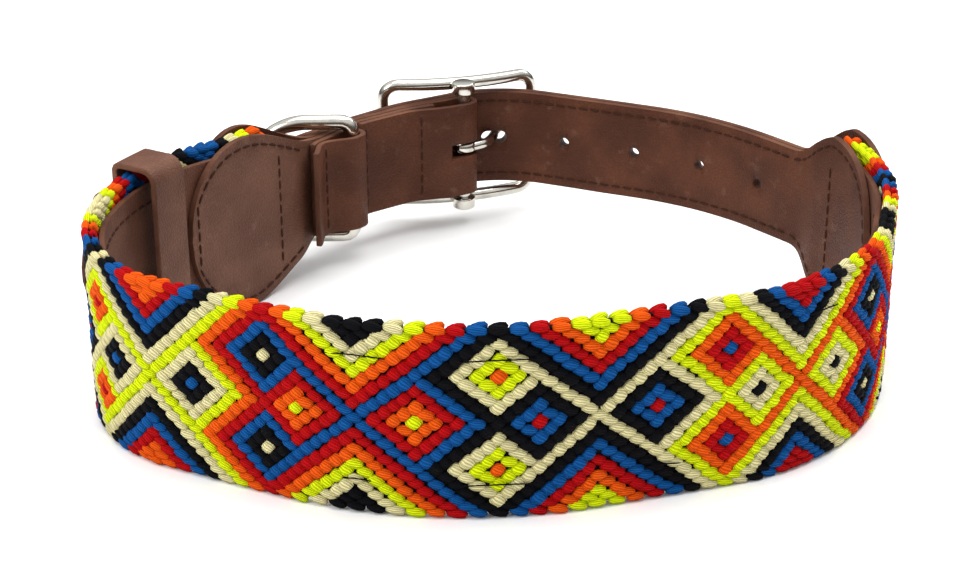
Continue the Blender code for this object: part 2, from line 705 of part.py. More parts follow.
def contour(shield, skip=0.0, steps=26):
    """Route round a shield, inside its outline, from its lower to its upper side."""
    reach = shield.flare + shield.rounding - SEAM_INSET
    lower = []
    for i in range(steps + 1):
        along = skip + (reach - skip) * math.sin(math.pi / 2 * i / steps)
        lower.append((shield.start + shield.direction * along, shield.half(along) - SEAM_INSET))
    lower = [(u, height) for u, height in lower if height > 0.5 * MM]
    tip = [(shield.start + shield.direction * reach, 0.0)]
    return [(u, -height) for u, height in lower] + tip + [(u, height) for u, height in lower[::-1]]


def row(low, high, height, pitch=4.0 * MM):
    """Straight route along the collar."""
    return [(u, height) for u in stations(low, high, pitch)]


past_tab = RING_AT + TAB_TAIL + 1 * MM - LEFT_SHIELD_AT
seam("left_shield_needle_thread", contour(LEFT_INNER, past_tab), inner_n, -1)
seam("left_shield_bobbin_thread", contour(LEFT_OUTER), outer_n, 1)
seam("right_shield_needle_thread", contour(RIGHT_INNER), inner_n, -1)
seam("right_shield_bobbin_thread", contour(RIGHT_OUTER), outer_n, 1)

lining_row = LINING_HEIGHT / 2 - LINING_SEAM_INSET
for sign, side in ((1, "upper"), (-1, "lower")):
    seam(f"{side}_lining_thread",
         row(LEFT_INNER.end + 1 * MM, plan.length + RIGHT_INNER.end - 1 * MM, sign * lining_row),
         lambda u: LINING_N - 0.05 * MM, -1, band_middle)
    strap_row = sign * (STRAP_WIDTH / 2 - SEAM_INSET)
    seam(f"{side}_strap_needle_thread", row(RIGHT_SHIELD_AT + 1 * MM, ROD_AT - 5.5 * MM, strap_row),
         lambda u: hole_strap_n(u, 0), -1)
    seam(f"{side}_strap_bobbin_thread", row(RIGHT_SHIELD_AT + 1 * MM, TAIL_END - 8 * MM, strap_row),
         lambda u: hole_strap_n(u, 1), 1)


def across(name, u, half, n_of, side):
    """Straight seam across a strap at one place."""
    return seam(name, [(u, -half), (u, half)], n_of, side)


across("left_band_end_thread", BAND_START - 2 * MM, SHIELD_HEIGHT / 2 - 8 * MM, inner_n, -1)
across("right_band_end_thread", RIGHT_SHIELD_AT - SHIELD_TO_BAND + 2 * MM,
       SHIELD_HEIGHT / 2 - 8 * MM, inner_n, -1)
across("flap_near_thread", ROD_AT + 14.5 * MM, STRAP_WIDTH / 2 - 1.5 * MM, flap_n, -1)
across("flap_far_thread", ROD_AT + FOLD_LENGTH - 1.5 * MM, STRAP_WIDTH / 2 - 1.5 * MM, flap_n, -1)
across("dring_tab_thread", RING_AT + TAB_SEAM, TAB_HEIGHT / 2 - 1.5 * MM, closed_n, -1)
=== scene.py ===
"""Looks of a flat dog collar: a hand-knotted cotton band on a leather lining, leather straps
sewn over its ends, a centre-bar buckle, a D-ring in its tab and a keeper loop."""
import logging
import math
import random
from dataclasses import dataclass
from enum import Enum
from typing import Callable, Iterable, Sequence

import bmesh
import bpy
from mathutils import Matrix, Vector, noise


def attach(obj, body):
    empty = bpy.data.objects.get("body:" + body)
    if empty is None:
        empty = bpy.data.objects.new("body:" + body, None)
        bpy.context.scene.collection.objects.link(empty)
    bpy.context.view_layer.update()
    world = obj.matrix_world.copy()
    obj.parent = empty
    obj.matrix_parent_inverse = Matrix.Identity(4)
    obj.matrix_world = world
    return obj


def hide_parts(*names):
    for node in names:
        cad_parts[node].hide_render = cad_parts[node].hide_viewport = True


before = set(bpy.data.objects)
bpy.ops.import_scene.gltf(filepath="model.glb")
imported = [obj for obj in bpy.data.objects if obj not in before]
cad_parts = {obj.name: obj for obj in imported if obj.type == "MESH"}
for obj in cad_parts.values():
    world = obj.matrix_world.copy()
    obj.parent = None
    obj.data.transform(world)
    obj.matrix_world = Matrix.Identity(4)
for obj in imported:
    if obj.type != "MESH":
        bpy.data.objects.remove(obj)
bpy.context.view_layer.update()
log = logging.getLogger("collar")

MM = 0.001
GAP = 0.3 * MM

# Plan of the band's outer face: corner (x, y) and its rounding radius, in mm
PLAN_CORNERS = (
    (-0.6, 85.7, 30.0), (-40.7, 56.2, 44.0), (-91.0, -12.3, 56.0), (-93.6, -55.8, 38.0),
    (-13.3, -95.0, 92.0), (82.8, -63.8, 60.0), (100.0, 12.7, 66.0), (58.8, 61.2, 80.0),
)
KEEPER_CORNER = 2
BAND_HEIGHT = 45.0 * MM
BAND_THICKNESS = 3.4 * MM
LINING_HEIGHT = 38.0 * MM
LINING_THICKNESS = 1.3 * MM
LEATHER = 1.5 * MM
STRAP_WIDTH = 25.8 * MM
SHIELD_HEIGHT = 45.4 * MM
SHIELD_TO_BAND = 21.5 * MM
BLUNT_TIP = 2.0 * MM
LIFT = 2.0 * MM
LIFT_RAMP = 30.0 * MM
SPREAD_START = 2.0 * MM
SPREAD_END = 13.0 * MM
ROD_AT = 12.5 * MM
FOLD_REACH = 19.0 * MM
FOLD_LENGTH = 33.5 * MM
RING_AT = 53.0 * MM
LEFT_SHIELD_AT = 60.5 * MM
RIGHT_SHIELD_AT = -93.5 * MM
KEEPER_FROM_ARC = 6.4 * MM
TAIL_PAST_KEEPER = 16.0 * MM
TAIL_RISE = 0.9 * MM
CROSSING = 26.0 * MM
TIP = 12.0 * MM
TAPER = 1.2 * MM
ROD_RADIUS = 1.75 * MM
SEAM_INSET = 2.4 * MM
LINING_SEAM_INSET = 4.4 * MM
HALF = LEATHER / 2
STEP = LEATHER + GAP
LINING_N = -BAND_THICKNESS - GAP - LINING_THICKNESS / 2
OUTER_SHIELD_N = GAP + HALF
INNER_SHIELD_N = LINING_N - LINING_THICKNESS / 2 - GAP - HALF
MIDDLE_N = (OUTER_SHIELD_N + INNER_SHIELD_N) / 2
OUTER_STRAP_N = MIDDLE_N + STEP / 2
INNER_STRAP_N = MIDDLE_N - STEP / 2
ROD_N = -7.0 * MM
FOLD_OUTER_N = ROD_N + ROD_RADIUS + GAP + HALF
FOLD_INNER_N = ROD_N - ROD_RADIUS - GAP - HALF
UP = Vector((0.0, 0.0, 1.0))


class Body(str, Enum):
    """Rigid bodies that the pieces ride on."""

    COLLAR = "collar"
    RING = "ring"
    BUCKLE = "buckle"
    TONGUE = "tongue"
    KEEPER = "keeper"


class Slot(str, Enum):
    """Names of the kinds of finish that the pieces have."""

    COTTON = "knotted_cotton"
    LINING = "lining_leather"
    LEATHER = "leather"
    NICKEL = "nickel"
    THREAD = "thread"


class Cotton(Enum):
    """Colours of the knots, in the order in which the pattern passes through them."""

    BLACK = (0.0022, 0.0024, 0.0042)
    BLUE = (0.004, 0.10, 0.36)
    RED = (0.54, 0.0015, 0.004)
    ORANGE = (1.0, 0.12, 0.004)
    YELLOW = (0.82, 1.0, 0.003)
    CREAM = (0.88, 0.81, 0.42)


# ======================================================================================
# Plan curve and the layers on it
# ======================================================================================
class Outline:
    """Closed curve of straight runs joined by round corners."""

    def __init__(self, corners: Sequence[tuple[float, float, float]]) -> None:
        """Lay out the arcs.

        Args:
            corners: x, y and rounding radius of each corner.
        """
        points = [Vector((x, y)) for x, y, _ in corners]
        radii = [radius for _, _, radius in corners]
        count = len(points)
        self.arcs = []
        for i, point in enumerate(points):
            before = point - points[i - 1]
            after = points[(i + 1) % count] - point
            heading = math.atan2(before.y, before.x)
            turn = math.remainder(math.atan2(after.y, after.x) - heading, 2 * math.pi)
            reach = radii[i] * math.tan(abs(turn) / 2)
            start = point - before.normalized() * reach
            end = point + after.normalized() * reach
            side = math.copysign(radii[i], turn)
            centre = start + Vector((-math.sin(heading), math.cos(heading))) * side
            self.arcs.append((start, end, centre, side, heading, turn))
        self.starts = []
        total = 0.0
        for i, arc in enumerate(self.arcs):
            self.starts.append(total)
            total += arc[3] * arc[5] + (self.arcs[(i + 1) % count][0] - arc[1]).length
        self.length = total
        self.shift = self.arcs[0][3] * self.arcs[0][5] / 2

    def at(self, u: float) -> tuple[Vector, float]:
        """Point on the curve and its heading.

        Args:
            u: distance along the curve.

        Returns:
            The point and the heading in radians.
        """
        s = (u + self.shift) % self.length
        index = max(i for i, start in enumerate(self.starts) if start <= s)
        start, end, centre, side, heading, turn = self.arcs[index]
        s -= self.starts[index]
        if s <= side * turn:
            heading += s / side
            return centre + Vector((math.sin(heading), -math.cos(heading))) * side, heading
        heading += turn
        return end + Vector((math.cos(heading), math.sin(heading))) * (s - side * turn), heading

    def place(self, u: float, n: float) -> Vector:
        """Point n outside the curve at distance u.

        Args:
            u: distance along the curve.
            n: distance outwards.

        Returns:
            The point in plan.
        """
        point, heading = self.at(u)
        return point + Vector((math.sin(heading), -math.cos(heading))) * n

    def arc_range(self, index: int) -> tuple[float, float]:
        """Distances at which a corner starts and ends.

        Args:
            index: number of the corner.

        Returns:
            Distance at its start and at its end.
        """
        start = self.starts[index] - self.shift
        return start, start + self.arcs[index][3] * self.arcs[index][5]


plan = Outline([(x * MM, y * MM, radius * MM) for x, y, radius in PLAN_CORNERS])
ARC_START, ARC_END = plan.arc_range(KEEPER_CORNER)
KEEPER_AT = ARC_START + KEEPER_FROM_ARC
TAIL_END = KEEPER_AT + TAIL_PAST_KEEPER
BAND_START = LEFT_SHIELD_AT + SHIELD_TO_BAND
BAND_END = plan.length + RIGHT_SHIELD_AT - SHIELD_TO_BAND


def smooth(value: float, low: float, high: float) -> float:
    """Smooth rise from 0 at low to 1 at high.

    Args:
        value: where to read it.
        low: start of the rise.
        high: end of the rise.

    Returns:
        The height of the rise.
    """
    t = min(1.0, max(0.0, (value - low) / (high - low)))
    return t * t * (3 - 2 * t)


def lift(u: float) -> float:
    """Height that the collar is raised by, where it rides over the keeper.

    Args:
        u: place along the collar.

    Returns:
        The height.
    """
    u = u % plan.length
    rise = smooth(u, ARC_START - LIFT_RAMP, ARC_START)
    return LIFT * rise * (1 - smooth(u, ARC_END, ARC_END + LIFT_RAMP))


def middle(u: float) -> float:
    """Height of the middle line of the straps and shields."""
    return SHIELD_HEIGHT / 2 + lift(u)


def band_middle(u: float) -> float:
    """Height of the middle line of the band and its lining."""
    return BAND_HEIGHT / 2 + lift(u)


def signed(u: float) -> float:
    """The same place, as a distance to one side of the buckle or the other."""
    return (u + plan.length / 2) % plan.length - plan.length / 2


@dataclass(frozen=True)
class Shield:
    """End of a leather layer: it widens from the strap's width, then ends in a half round."""

    start: float
    direction: int
    flare: float
    rounding: float

    @property
    def end(self) -> float:
        """Place of the rounded end."""
        return self.start + self.direction * (self.flare + self.rounding)

    def half(self, distance: float) -> float:
        """Half height at a distance past the start of the flare.

        Args:
            distance: how far past the start.

        Returns:
            The half height.
        """
        wide, narrow = SHIELD_HEIGHT / 2, STRAP_WIDTH / 2
        if distance <= self.flare:
            return narrow + (wide - narrow) * smooth(distance, 0.0, self.flare)
        t = min(1.0, (distance - self.flare) / self.rounding)
        return wide * math.sqrt(max(0.0, 1 - t * t))

    def half_at(self, u: float) -> float:
        """Half height at a place along the collar."""
        return self.half((signed(u) - self.start) * self.direction)


LEFT_INNER = Shield(LEFT_SHIELD_AT, 1, 31.5 * MM, 20.0 * MM)
LEFT_OUTER = Shield(LEFT_SHIELD_AT, 1, 27.5 * MM, 16.0 * MM)
RIGHT_INNER = Shield(RIGHT_SHIELD_AT, -1, 21.0 * MM, 30.0 * MM)
RIGHT_OUTER = Shield(RIGHT_SHIELD_AT, -1, 18.0 * MM, 23.0 * MM)


def outer_n(u: float) -> float:
    """n of the buckle strap's outer layer, and of the hole strap's on its own side.

    Args:
        u: place along the collar.

    Returns:
        n of the layer's middle.
    """
    u = signed(u)
    spread = OUTER_SHIELD_N - OUTER_STRAP_N
    if u < 0:
        return OUTER_STRAP_N + spread * smooth(RIGHT_SHIELD_AT - u, SPREAD_START, SPREAD_END)
    n = FOLD_OUTER_N + (OUTER_STRAP_N - FOLD_OUTER_N) * smooth(u, ROD_AT, ROD_AT + FOLD_REACH)
    return n + spread * smooth(u - LEFT_SHIELD_AT, SPREAD_START, SPREAD_END)


def inner_n(u: float) -> float:
    """n of the inner layer under outer_n.

    Args:
        u: place along the collar.

    Returns:
        n of the layer's middle.
    """
    u = signed(u)
    spread = OUTER_STRAP_N - INNER_STRAP_N
    shield = (OUTER_SHIELD_N - INNER_SHIELD_N) - spread
    past = max(u - LEFT_SHIELD_AT, RIGHT_SHIELD_AT - u)
    return outer_n(u) - spread - shield * smooth(past, SPREAD_START, SPREAD_END)


def hole_strap_n(u: float, layer: int) -> float:
    """n of the hole strap, which passes outside the buckle strap.

    Args:
        u: place along the collar.
        layer: 0 for the inner layer, 1 for the outer one.

    Returns:
        n of the layer's middle.
    """
    if u >= ROD_AT:
        return outer_n(u) + (1 + layer) * STEP + TAIL_RISE * smooth(u, RING_AT, LEFT_SHIELD_AT)
    before = min(u, ROD_AT - CROSSING)
    own = outer_n(before) if layer else inner_n(before)
    over = FOLD_OUTER_N + (1 + layer) * STEP
    return own + (over - own) * smooth(u, ROD_AT - CROSSING, ROD_AT)


def flap_n(u: float) -> float:
    """n of the return flap, which closes on the inner layer past the centre bar."""
    rest = inner_n(u) - STEP - 0.1 * MM
    return FOLD_INNER_N + (rest - FOLD_INNER_N) * smooth(u, ROD_AT, ROD_AT + FOLD_REACH)


def hole_strap_half(u: float, shield: Shield) -> float:
    """Half height of a layer of the hole strap, from its shield to its rounded tip.

    Args:
        u: place along the collar.
        shield: shield that the layer starts with.

    Returns:
        The half height.
    """
    if u < 0:
        return shield.half_at(u)
    half = STRAP_WIDTH / 2 - TAPER * smooth(u, ROD_AT, RING_AT)
    t = max(0.0, (u - TAIL_END + TIP) / TIP)
    return half * math.sqrt(max(0.0, 1 - t * t))


def outwards(heading: float) -> Vector:
    """Direction out of the collar at a heading."""
    return Vector((math.sin(heading), -math.cos(heading), 0.0))


def along(heading: float) -> Vector:
    """Direction along the collar at a heading."""
    return Vector((math.cos(heading), math.sin(heading), 0.0))


def spot(u: float, n: float, z: float) -> Vector:
    """Point in space at a place along the collar, n outwards and z up."""
    at = plan.place(u, n)
    return Vector((at.x, at.y, z))


def stations(low: float, high: float, pitch: float, round_low: float = 0.0,
             round_high: float = 0.0) -> list[float]:
    """Distances from low to high, closer together over the rounded ends.

    Args:
        low: first distance.
        high: last distance.
        pitch: space between them on the straight stretch.
        round_low: length of the rounded end at the start.
        round_high: length of the rounded end at the finish.

    Returns:
        The distances in order.
    """
    steps = 14
    values = [low]
    if round_low:
        values = [low + round_low * (1 - math.cos(math.pi / 2 * i / steps))
                  for i in range(steps + 1)]
    first, last = values[-1], high - round_high
    count = max(1, round((last - first) / pitch))
    values += [first + (last - first) * i / count for i in range(1, count + 1)]
    if round_high:
        values += [last + round_high * math.sin(math.pi / 2 * i / steps)
                   for i in range(1, steps + 1)]
    return values


# ======================================================================================
# Finishes
# ======================================================================================
class Nodes:
    """Short way to add and join nodes in one tree."""

    def __init__(self, tree: bpy.types.NodeTree) -> None:
        """Keep the tree."""
        self.tree = tree

    def add(self, kind: str, values: dict | None = None, **settings: object) -> bpy.types.Node:
        """Add a node.

        Args:
            kind: its type name.
            values: input values or sockets to join, by input name or number.
            settings: its own properties.

        Returns:
            The node.
        """
        node = self.tree.nodes.new(kind)
        for name, value in settings.items():
            setattr(node, name, value)
        for name, value in (values or {}).items():
            if isinstance(value, bpy.types.NodeSocket):
                self.tree.links.new(value, node.inputs[name])
            else:
                node.inputs[name].default_value = value
        return node

    def join(self, node: bpy.types.Node, **sockets: bpy.types.NodeSocket) -> None:
        """Join outputs to a node's inputs.

        Args:
            node: the node.
            sockets: output for each input, by the input's name.
        """
        for name, value in sockets.items():
            self.tree.links.new(value, node.inputs[name.replace("_", " ")])

    def maths(self, operation: str, first: object, second: object = 0.0) -> bpy.types.NodeSocket:
        """Result of one sum.

        Args:
            operation: the sum.
            first: first number or socket.
            second: second number or socket.

        Returns:
            The output socket.
        """
        return self.add("ShaderNodeMath", {0: first, 1: second}, operation=operation).outputs[0]

    def ramp(self, factor: bpy.types.NodeSocket, low: float, high: float) -> bpy.types.NodeSocket:
        """Mask that rises smoothly from 0 at low to 1 at high.

        Args:
            factor: value to read.
            low: where it starts to rise.
            high: where it is full.

        Returns:
            The output socket.
        """
        values = {"Value": factor, "From Min": low, "From Max": high}
        return self.add("ShaderNodeMapRange", values, interpolation_type="SMOOTHSTEP").outputs[0]

    def blend(self, factor: object, first: object, second: object) -> bpy.types.NodeSocket:
        """Mix of two colours.

        Args:
            factor: share of the second.
            first: first colour.
            second: second colour.

        Returns:
            The output socket.
        """
        values = {0: factor, 6: first, 7: second}
        return self.add("ShaderNodeMix", values, data_type="RGBA").outputs[2]


def group(name: str, inputs: Sequence[tuple[str, str, object]],
          outputs: Sequence[tuple[str, str]]) -> tuple[Nodes, bpy.types.Node, bpy.types.Node]:
    """New shader node group with its sockets.

    Args:
        name: name of the group.
        inputs: name, kind and value of each input.
        outputs: name and kind of each output.

    Returns:
        Its nodes, its input node and its output node.
    """
    tree = bpy.data.node_groups.new(name, "ShaderNodeTree")
    for title, kind, value in inputs:
        made = tree.interface.new_socket(title, in_out="INPUT", socket_type=kind)
        made.default_value = value
    for title, kind in outputs:
        tree.interface.new_socket(title, in_out="OUTPUT", socket_type=kind)
    nodes = Nodes(tree)
    return nodes, nodes.add("NodeGroupInput"), nodes.add("NodeGroupOutput")


FLOAT, COLOUR = "NodeSocketFloat", "NodeSocketColor"


def grain_group() -> bpy.types.NodeTree:
    """Leather grain: pebbled cells, creases and cloudy tone.

    Returns:
        The group, which puts out Color, Roughness and Height.
    """
    nodes, given, out = group(
        "leather_grain",
        [("Dark", COLOUR, (0.05, 0.02, 0.01, 1)), ("Light", COLOUR, (0.1, 0.05, 0.03, 1)),
         ("Pebble", FLOAT, 900.0), ("Wear", FLOAT, 0.5), ("Rough", FLOAT, 0.5)],
        [("Color", COLOUR), ("Roughness", FLOAT), ("Height", FLOAT)])
    place = nodes.add("ShaderNodeTexCoord").outputs["Object"]
    cells = nodes.add("ShaderNodeTexVoronoi", {"Vector": place, "Scale": given.outputs["Pebble"]},
                      feature="DISTANCE_TO_EDGE")
    valley = nodes.ramp(cells.outputs["Distance"], 0.0, 0.22)
    clouds = nodes.add("ShaderNodeTexNoise", {"Vector": place, "Scale": 70.0, "Detail": 6.0})
    fine = nodes.add("ShaderNodeTexNoise", {"Vector": place, "Scale": 2600.0, "Detail": 3.0})
    scuffs = nodes.add("ShaderNodeTexNoise", {"Vector": place, "Scale": 240.0, "Detail": 8.0,
                                              "Roughness": 0.7})
    tone = nodes.ramp(clouds.outputs["Fac"], 0.35, 0.68)
    worn = nodes.maths("MULTIPLY", nodes.ramp(scuffs.outputs["Fac"], 0.56, 0.72),
                       given.outputs["Wear"])
    base = nodes.blend(tone, given.outputs["Dark"], given.outputs["Light"])
    shaded = nodes.blend(nodes.maths("MULTIPLY", nodes.maths("SUBTRACT", 1.0, valley), 0.45),
                         base, given.outputs["Dark"])
    paler = nodes.blend(0.55, given.outputs["Light"], (0.36, 0.24, 0.17, 1.0))
    colour = nodes.blend(nodes.maths("MULTIPLY", worn, 0.5), shaded, paler)
    rough = nodes.maths("ADD", given.outputs["Rough"], nodes.maths("MULTIPLY", tone, 0.10))
    rough = nodes.maths("ADD", rough, nodes.maths("MULTIPLY", worn, 0.12))
    height = nodes.maths("ADD", valley, nodes.maths("MULTIPLY", fine.outputs["Fac"], 0.35))
    height = nodes.maths("ADD", height, nodes.maths("MULTIPLY", scuffs.outputs["Fac"], 0.8))
    nodes.join(out, Color=colour, Roughness=rough, Height=height)
    return nodes.tree


def strand_group() -> bpy.types.NodeTree:
    """Twisted strands that run along a knot or a stitch, with fuzz.

    Returns:
        The group, which puts out Color, Roughness and Height.
    """
    nodes, given, out = group(
        "twisted_strands",
        [("Thread", COLOUR, (0.5, 0.5, 0.5, 1)), ("Strands", FLOAT, 12.0),
         ("Twist", FLOAT, 2.0), ("Shade", FLOAT, 0.5)],
        [("Color", COLOUR), ("Roughness", FLOAT), ("Height", FLOAT)])
    place = nodes.add("ShaderNodeTexCoord")
    parts = nodes.add("ShaderNodeSeparateXYZ", {0: place.outputs["UV"]})
    turned = nodes.maths("ADD", nodes.maths("MULTIPLY", parts.outputs["X"],
                                            given.outputs["Strands"]),
                         nodes.maths("MULTIPLY", parts.outputs["Y"], given.outputs["Twist"]))
    wave = nodes.maths("SINE", nodes.maths("MULTIPLY", turned, 2 * math.pi))
    ridge = nodes.ramp(wave, -0.9, 0.6)
    tone = nodes.add("ShaderNodeTexNoise", {"Vector": place.outputs["Object"], "Scale": 330.0,
                                            "Detail": 3.0})
    fuzz = nodes.add("ShaderNodeTexNoise", {"Vector": place.outputs["Object"], "Scale": 5200.0,
                                            "Detail": 2.0})
    deep = nodes.add("ShaderNodeVectorMath", {0: given.outputs["Thread"],
                                              1: (0.45, 0.42, 0.42)}, operation="MULTIPLY")
    shade = nodes.maths("MULTIPLY", nodes.maths("SUBTRACT", 1.0, ridge), given.outputs["Shade"])
    colour = nodes.blend(shade, given.outputs["Thread"], deep.outputs[0])
    dull = nodes.maths("MULTIPLY", nodes.ramp(tone.outputs["Fac"], 0.42, 0.75), 0.28)
    colour = nodes.blend(dull, colour, deep.outputs[0])
    rough = nodes.maths("ADD", 0.62, nodes.maths("MULTIPLY", fuzz.outputs["Fac"], 0.3))
    height = nodes.maths("ADD", ridge, nodes.maths("MULTIPLY", fuzz.outputs["Fac"], 0.6))
    nodes.join(out, Color=colour, Roughness=rough, Height=height)
    return nodes.tree


def dressed(name: str, tree: bpy.types.NodeTree, values: dict, bump: float,
            sockets: dict) -> bpy.types.Material:
    """Material whose colour, roughness and bump come from one group.

    Args:
        name: name of the material.
        tree: the group.
        values: the group's input values.
        bump: height of the bump in metres.
        sockets: plain values of the shader.

    Returns:
        The material.
    """
    made = bpy.data.materials.new(name)
    made.use_nodes = True
    nodes = Nodes(made.node_tree)
    shader = made.node_tree.nodes["Principled BSDF"]
    effect = nodes.add("ShaderNodeGroup", node_tree=tree)
    for key, value in values.items():
        effect.inputs[key].default_value = value
    relief = nodes.add("ShaderNodeBump", {"Height": effect.outputs["Height"], "Distance": bump,
                                          "Strength": 1.0})
    nodes.join(shader, Base_Color=effect.outputs["Color"],
               Roughness=effect.outputs["Roughness"], Normal=relief.outputs["Normal"])
    for key, value in sockets.items():
        shader.inputs[key].default_value = value
    return made


@dataclass(frozen=True)
class LeatherFinish:
    """Oiled leather of one tone."""

    name: str
    dark: tuple[float, float, float]
    light: tuple[float, float, float]
    pebble: float = 1150.0
    wear: float = 0.5
    rough: float = 0.46
    bump: float = 0.09 * MM

    def material(self, tree: bpy.types.NodeTree) -> bpy.types.Material:
        """Make the material.

        Args:
            tree: the grain group.

        Returns:
            The material.
        """
        values = {"Dark": (*self.dark, 1.0), "Light": (*self.light, 1.0), "Pebble": self.pebble,
                  "Wear": self.wear, "Rough": self.rough}
        return dressed(self.name, tree, values, self.bump, {"Specular IOR Level": 0.17})


@dataclass(frozen=True)
class ThreadFinish:
    """Twisted thread or cord of one colour."""

    name: str
    colour: tuple[float, float, float]
    strands: float = 12.0
    twist: float = 2.0
    shade: float = 0.6
    bump: float = 0.10 * MM

    def material(self, tree: bpy.types.NodeTree) -> bpy.types.Material:
        """Make the material.

        Args:
            tree: the strand group.

        Returns:
            The material.
        """
        values = {"Thread": (*self.colour, 1.0), "Strands": self.strands, "Twist": self.twist,
                  "Shade": self.shade}
        return dressed(self.name, tree, values, self.bump,
                       {"Specular IOR Level": 0.09})


@dataclass(frozen=True)
class NickelFinish:
    """Polished nickel plate with faint handling marks."""

    name: str = "polished_nickel"
    bright: tuple[float, float, float] = (0.66, 0.64, 0.58)
    dull: tuple[float, float, float] = (0.47, 0.45, 0.40)

    def material(self) -> bpy.types.Material:
        """Make the material.

        Returns:
            The material.
        """
        made = bpy.data.materials.new(self.name)
        made.use_nodes = True
        nodes = Nodes(made.node_tree)
        shader = made.node_tree.nodes["Principled BSDF"]
        place = nodes.add("ShaderNodeTexCoord").outputs["Object"]
        marks = nodes.add("ShaderNodeTexNoise", {"Vector": place, "Scale": 160.0, "Detail": 8.0,
                                                 "Roughness": 0.65}).outputs["Fac"]
        mask = nodes.ramp(marks, 0.42, 0.74)
        colour = nodes.blend(mask, (*self.bright, 1.0), (*self.dull, 1.0))
        rough = nodes.maths("ADD", 0.11, nodes.maths("MULTIPLY", mask, 0.16))
        relief = nodes.add("ShaderNodeBump", {"Height": marks, "Distance": 0.04 * MM,
                                              "Strength": 0.6})
        nodes.join(shader, Base_Color=colour, Roughness=rough,
                   Normal=relief.outputs["Normal"])
        shader.inputs["Metallic"].default_value = 1.0
        return made


class Palette:
    """Every finish on the collar, made once."""

    def __init__(self) -> None:
        """Make the groups and the materials."""
        grain, strands = grain_group(), strand_group()
        # The strap and shield finishes are one leather in two tones: the strap one is painted
        # darker, as painted shade, and the shield one lighter, as painted light.
        self.strap = LeatherFinish("shaded_strap_leather", (0.066, 0.019, 0.008),
                                   (0.118, 0.039, 0.018)).material(grain)
        self.shield = LeatherFinish("lit_shield_leather", (0.105, 0.042, 0.025),
                                    (0.175, 0.080, 0.050), wear=0.6).material(grain)
        self.lining = LeatherFinish("lining_leather", (0.090, 0.034, 0.020),
                                    (0.150, 0.064, 0.038), rough=0.5).material(grain)
        self.edge = LeatherFinish("cut_edge", (0.085, 0.030, 0.016), (0.20, 0.085, 0.048),
                                  pebble=2600.0, rough=0.6, bump=0.12 * MM).material(grain)
        self.keeper_edge = LeatherFinish("raw_edge", (0.16, 0.065, 0.036), (0.29, 0.14, 0.085),
                                         pebble=2600.0, rough=0.65,
                                         bump=0.12 * MM).material(grain)
        self.thread = ThreadFinish("waxed_thread", (0.060, 0.025, 0.015), strands=3.0,
                                   twist=5.0).material(strands)
        self.knots = {tone: ThreadFinish(f"{tone.name.lower()}_cotton", tone.value,
                                         strands=14.0, twist=1.5, shade=0.75,
                                         bump=0.16 * MM).material(strands)
                      for tone in Cotton}
        self.nickel = NickelFinish().material()


# ======================================================================================
# Meshes
# ======================================================================================
def placed(name: str, bm: bmesh.types.BMesh, looks: Sequence[bpy.types.Material], body: Body,
           finish: Slot, nodes: Sequence[str] = ()) -> bpy.types.Object:
    """Turn a bmesh into a finished piece on its body.

    Args:
        name: name of the piece.
        bm: its mesh, which is used up.
        looks: its materials.
        body: body that it rides on.
        finish: not used.
        nodes: CAD nodes that it stands for.

    Returns:
        The piece.
    """
    mesh = bpy.data.meshes.new(name)
    bm.to_mesh(mesh)
    bm.free()
    mesh.shade_smooth()
    made = bpy.data.objects.new(name, mesh)
    bpy.context.collection.objects.link(made)
    for look in looks:
        mesh.materials.append(look)
    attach(made, body.value)
    if nodes:
        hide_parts(*nodes)
    log.info("%s: %d faces", name, len(mesh.polygons))
    return made


def wrapped(columns: int, rows: int, point_of: Callable[[int, int], Vector],
            closed: bool = False) -> bmesh.types.BMesh:
    """Grid laid over a surface.

    Args:
        columns: number of steps along it.
        rows: number of steps across it.
        point_of: place of the vertex in a column and a row.
        closed: the last column meets the first.

    Returns:
        The sheet.
    """
    bm = bmesh.new()
    bmesh.ops.create_grid(bm, x_segments=columns, y_segments=rows, size=0.5)
    for vert in bm.verts:
        column = round((vert.co.x + 0.5) * columns)
        row = round((vert.co.y + 0.5) * rows)
        vert.co = point_of(column, row)
    if closed:
        bmesh.ops.remove_doubles(bm, verts=bm.verts, dist=0.01 * MM)
    return bm


def thicken(made: bpy.types.Object, thickness: float, bevel: float = 0.3 * MM) -> None:
    """Give a sheet its thickness and round its edges.

    Args:
        made: the sheet, whose second material goes on its cut edge.
        thickness: its thickness.
        bevel: how far its edges are rounded.
    """
    solid = made.modifiers.new("thickness", "SOLIDIFY")
    solid.thickness = thickness
    solid.offset = 0.0
    solid.use_even_offset = True
    solid.material_offset_rim = 1
    soft = made.modifiers.new("edges", "BEVEL")
    soft.width = bevel
    soft.segments = 3
    soft.limit_method = "ANGLE"
    soft.angle_limit = math.radians(50)


def settle(made: bpy.types.Object) -> None:
    """Apply a piece's modifiers to its mesh.

    Args:
        made: the piece.
    """
    bpy.context.view_layer.update()
    graph = bpy.context.evaluated_depsgraph_get()
    mesh = bpy.data.meshes.new_from_object(made.evaluated_get(graph))
    made.modifiers.clear()
    made.data = mesh


EDGE_ROWS = (0.0, 1.1 * MM, 1.8 * MM, 2.4 * MM, 3.0 * MM, 4.4 * MM)


def row_heights(half: float) -> list[float]:
    """Heights of a strip's rows from its middle line, close together at the seams.

    Args:
        half: half height of the strip.

    Returns:
        The heights from the lower edge to the upper one.
    """
    scale = min(1.0, half / (6.0 * MM))
    upper = [half - inset * scale for inset in EDGE_ROWS]
    upper.append(upper[-1] / 2)
    return [-z for z in upper] + [0.0] + upper[::-1]


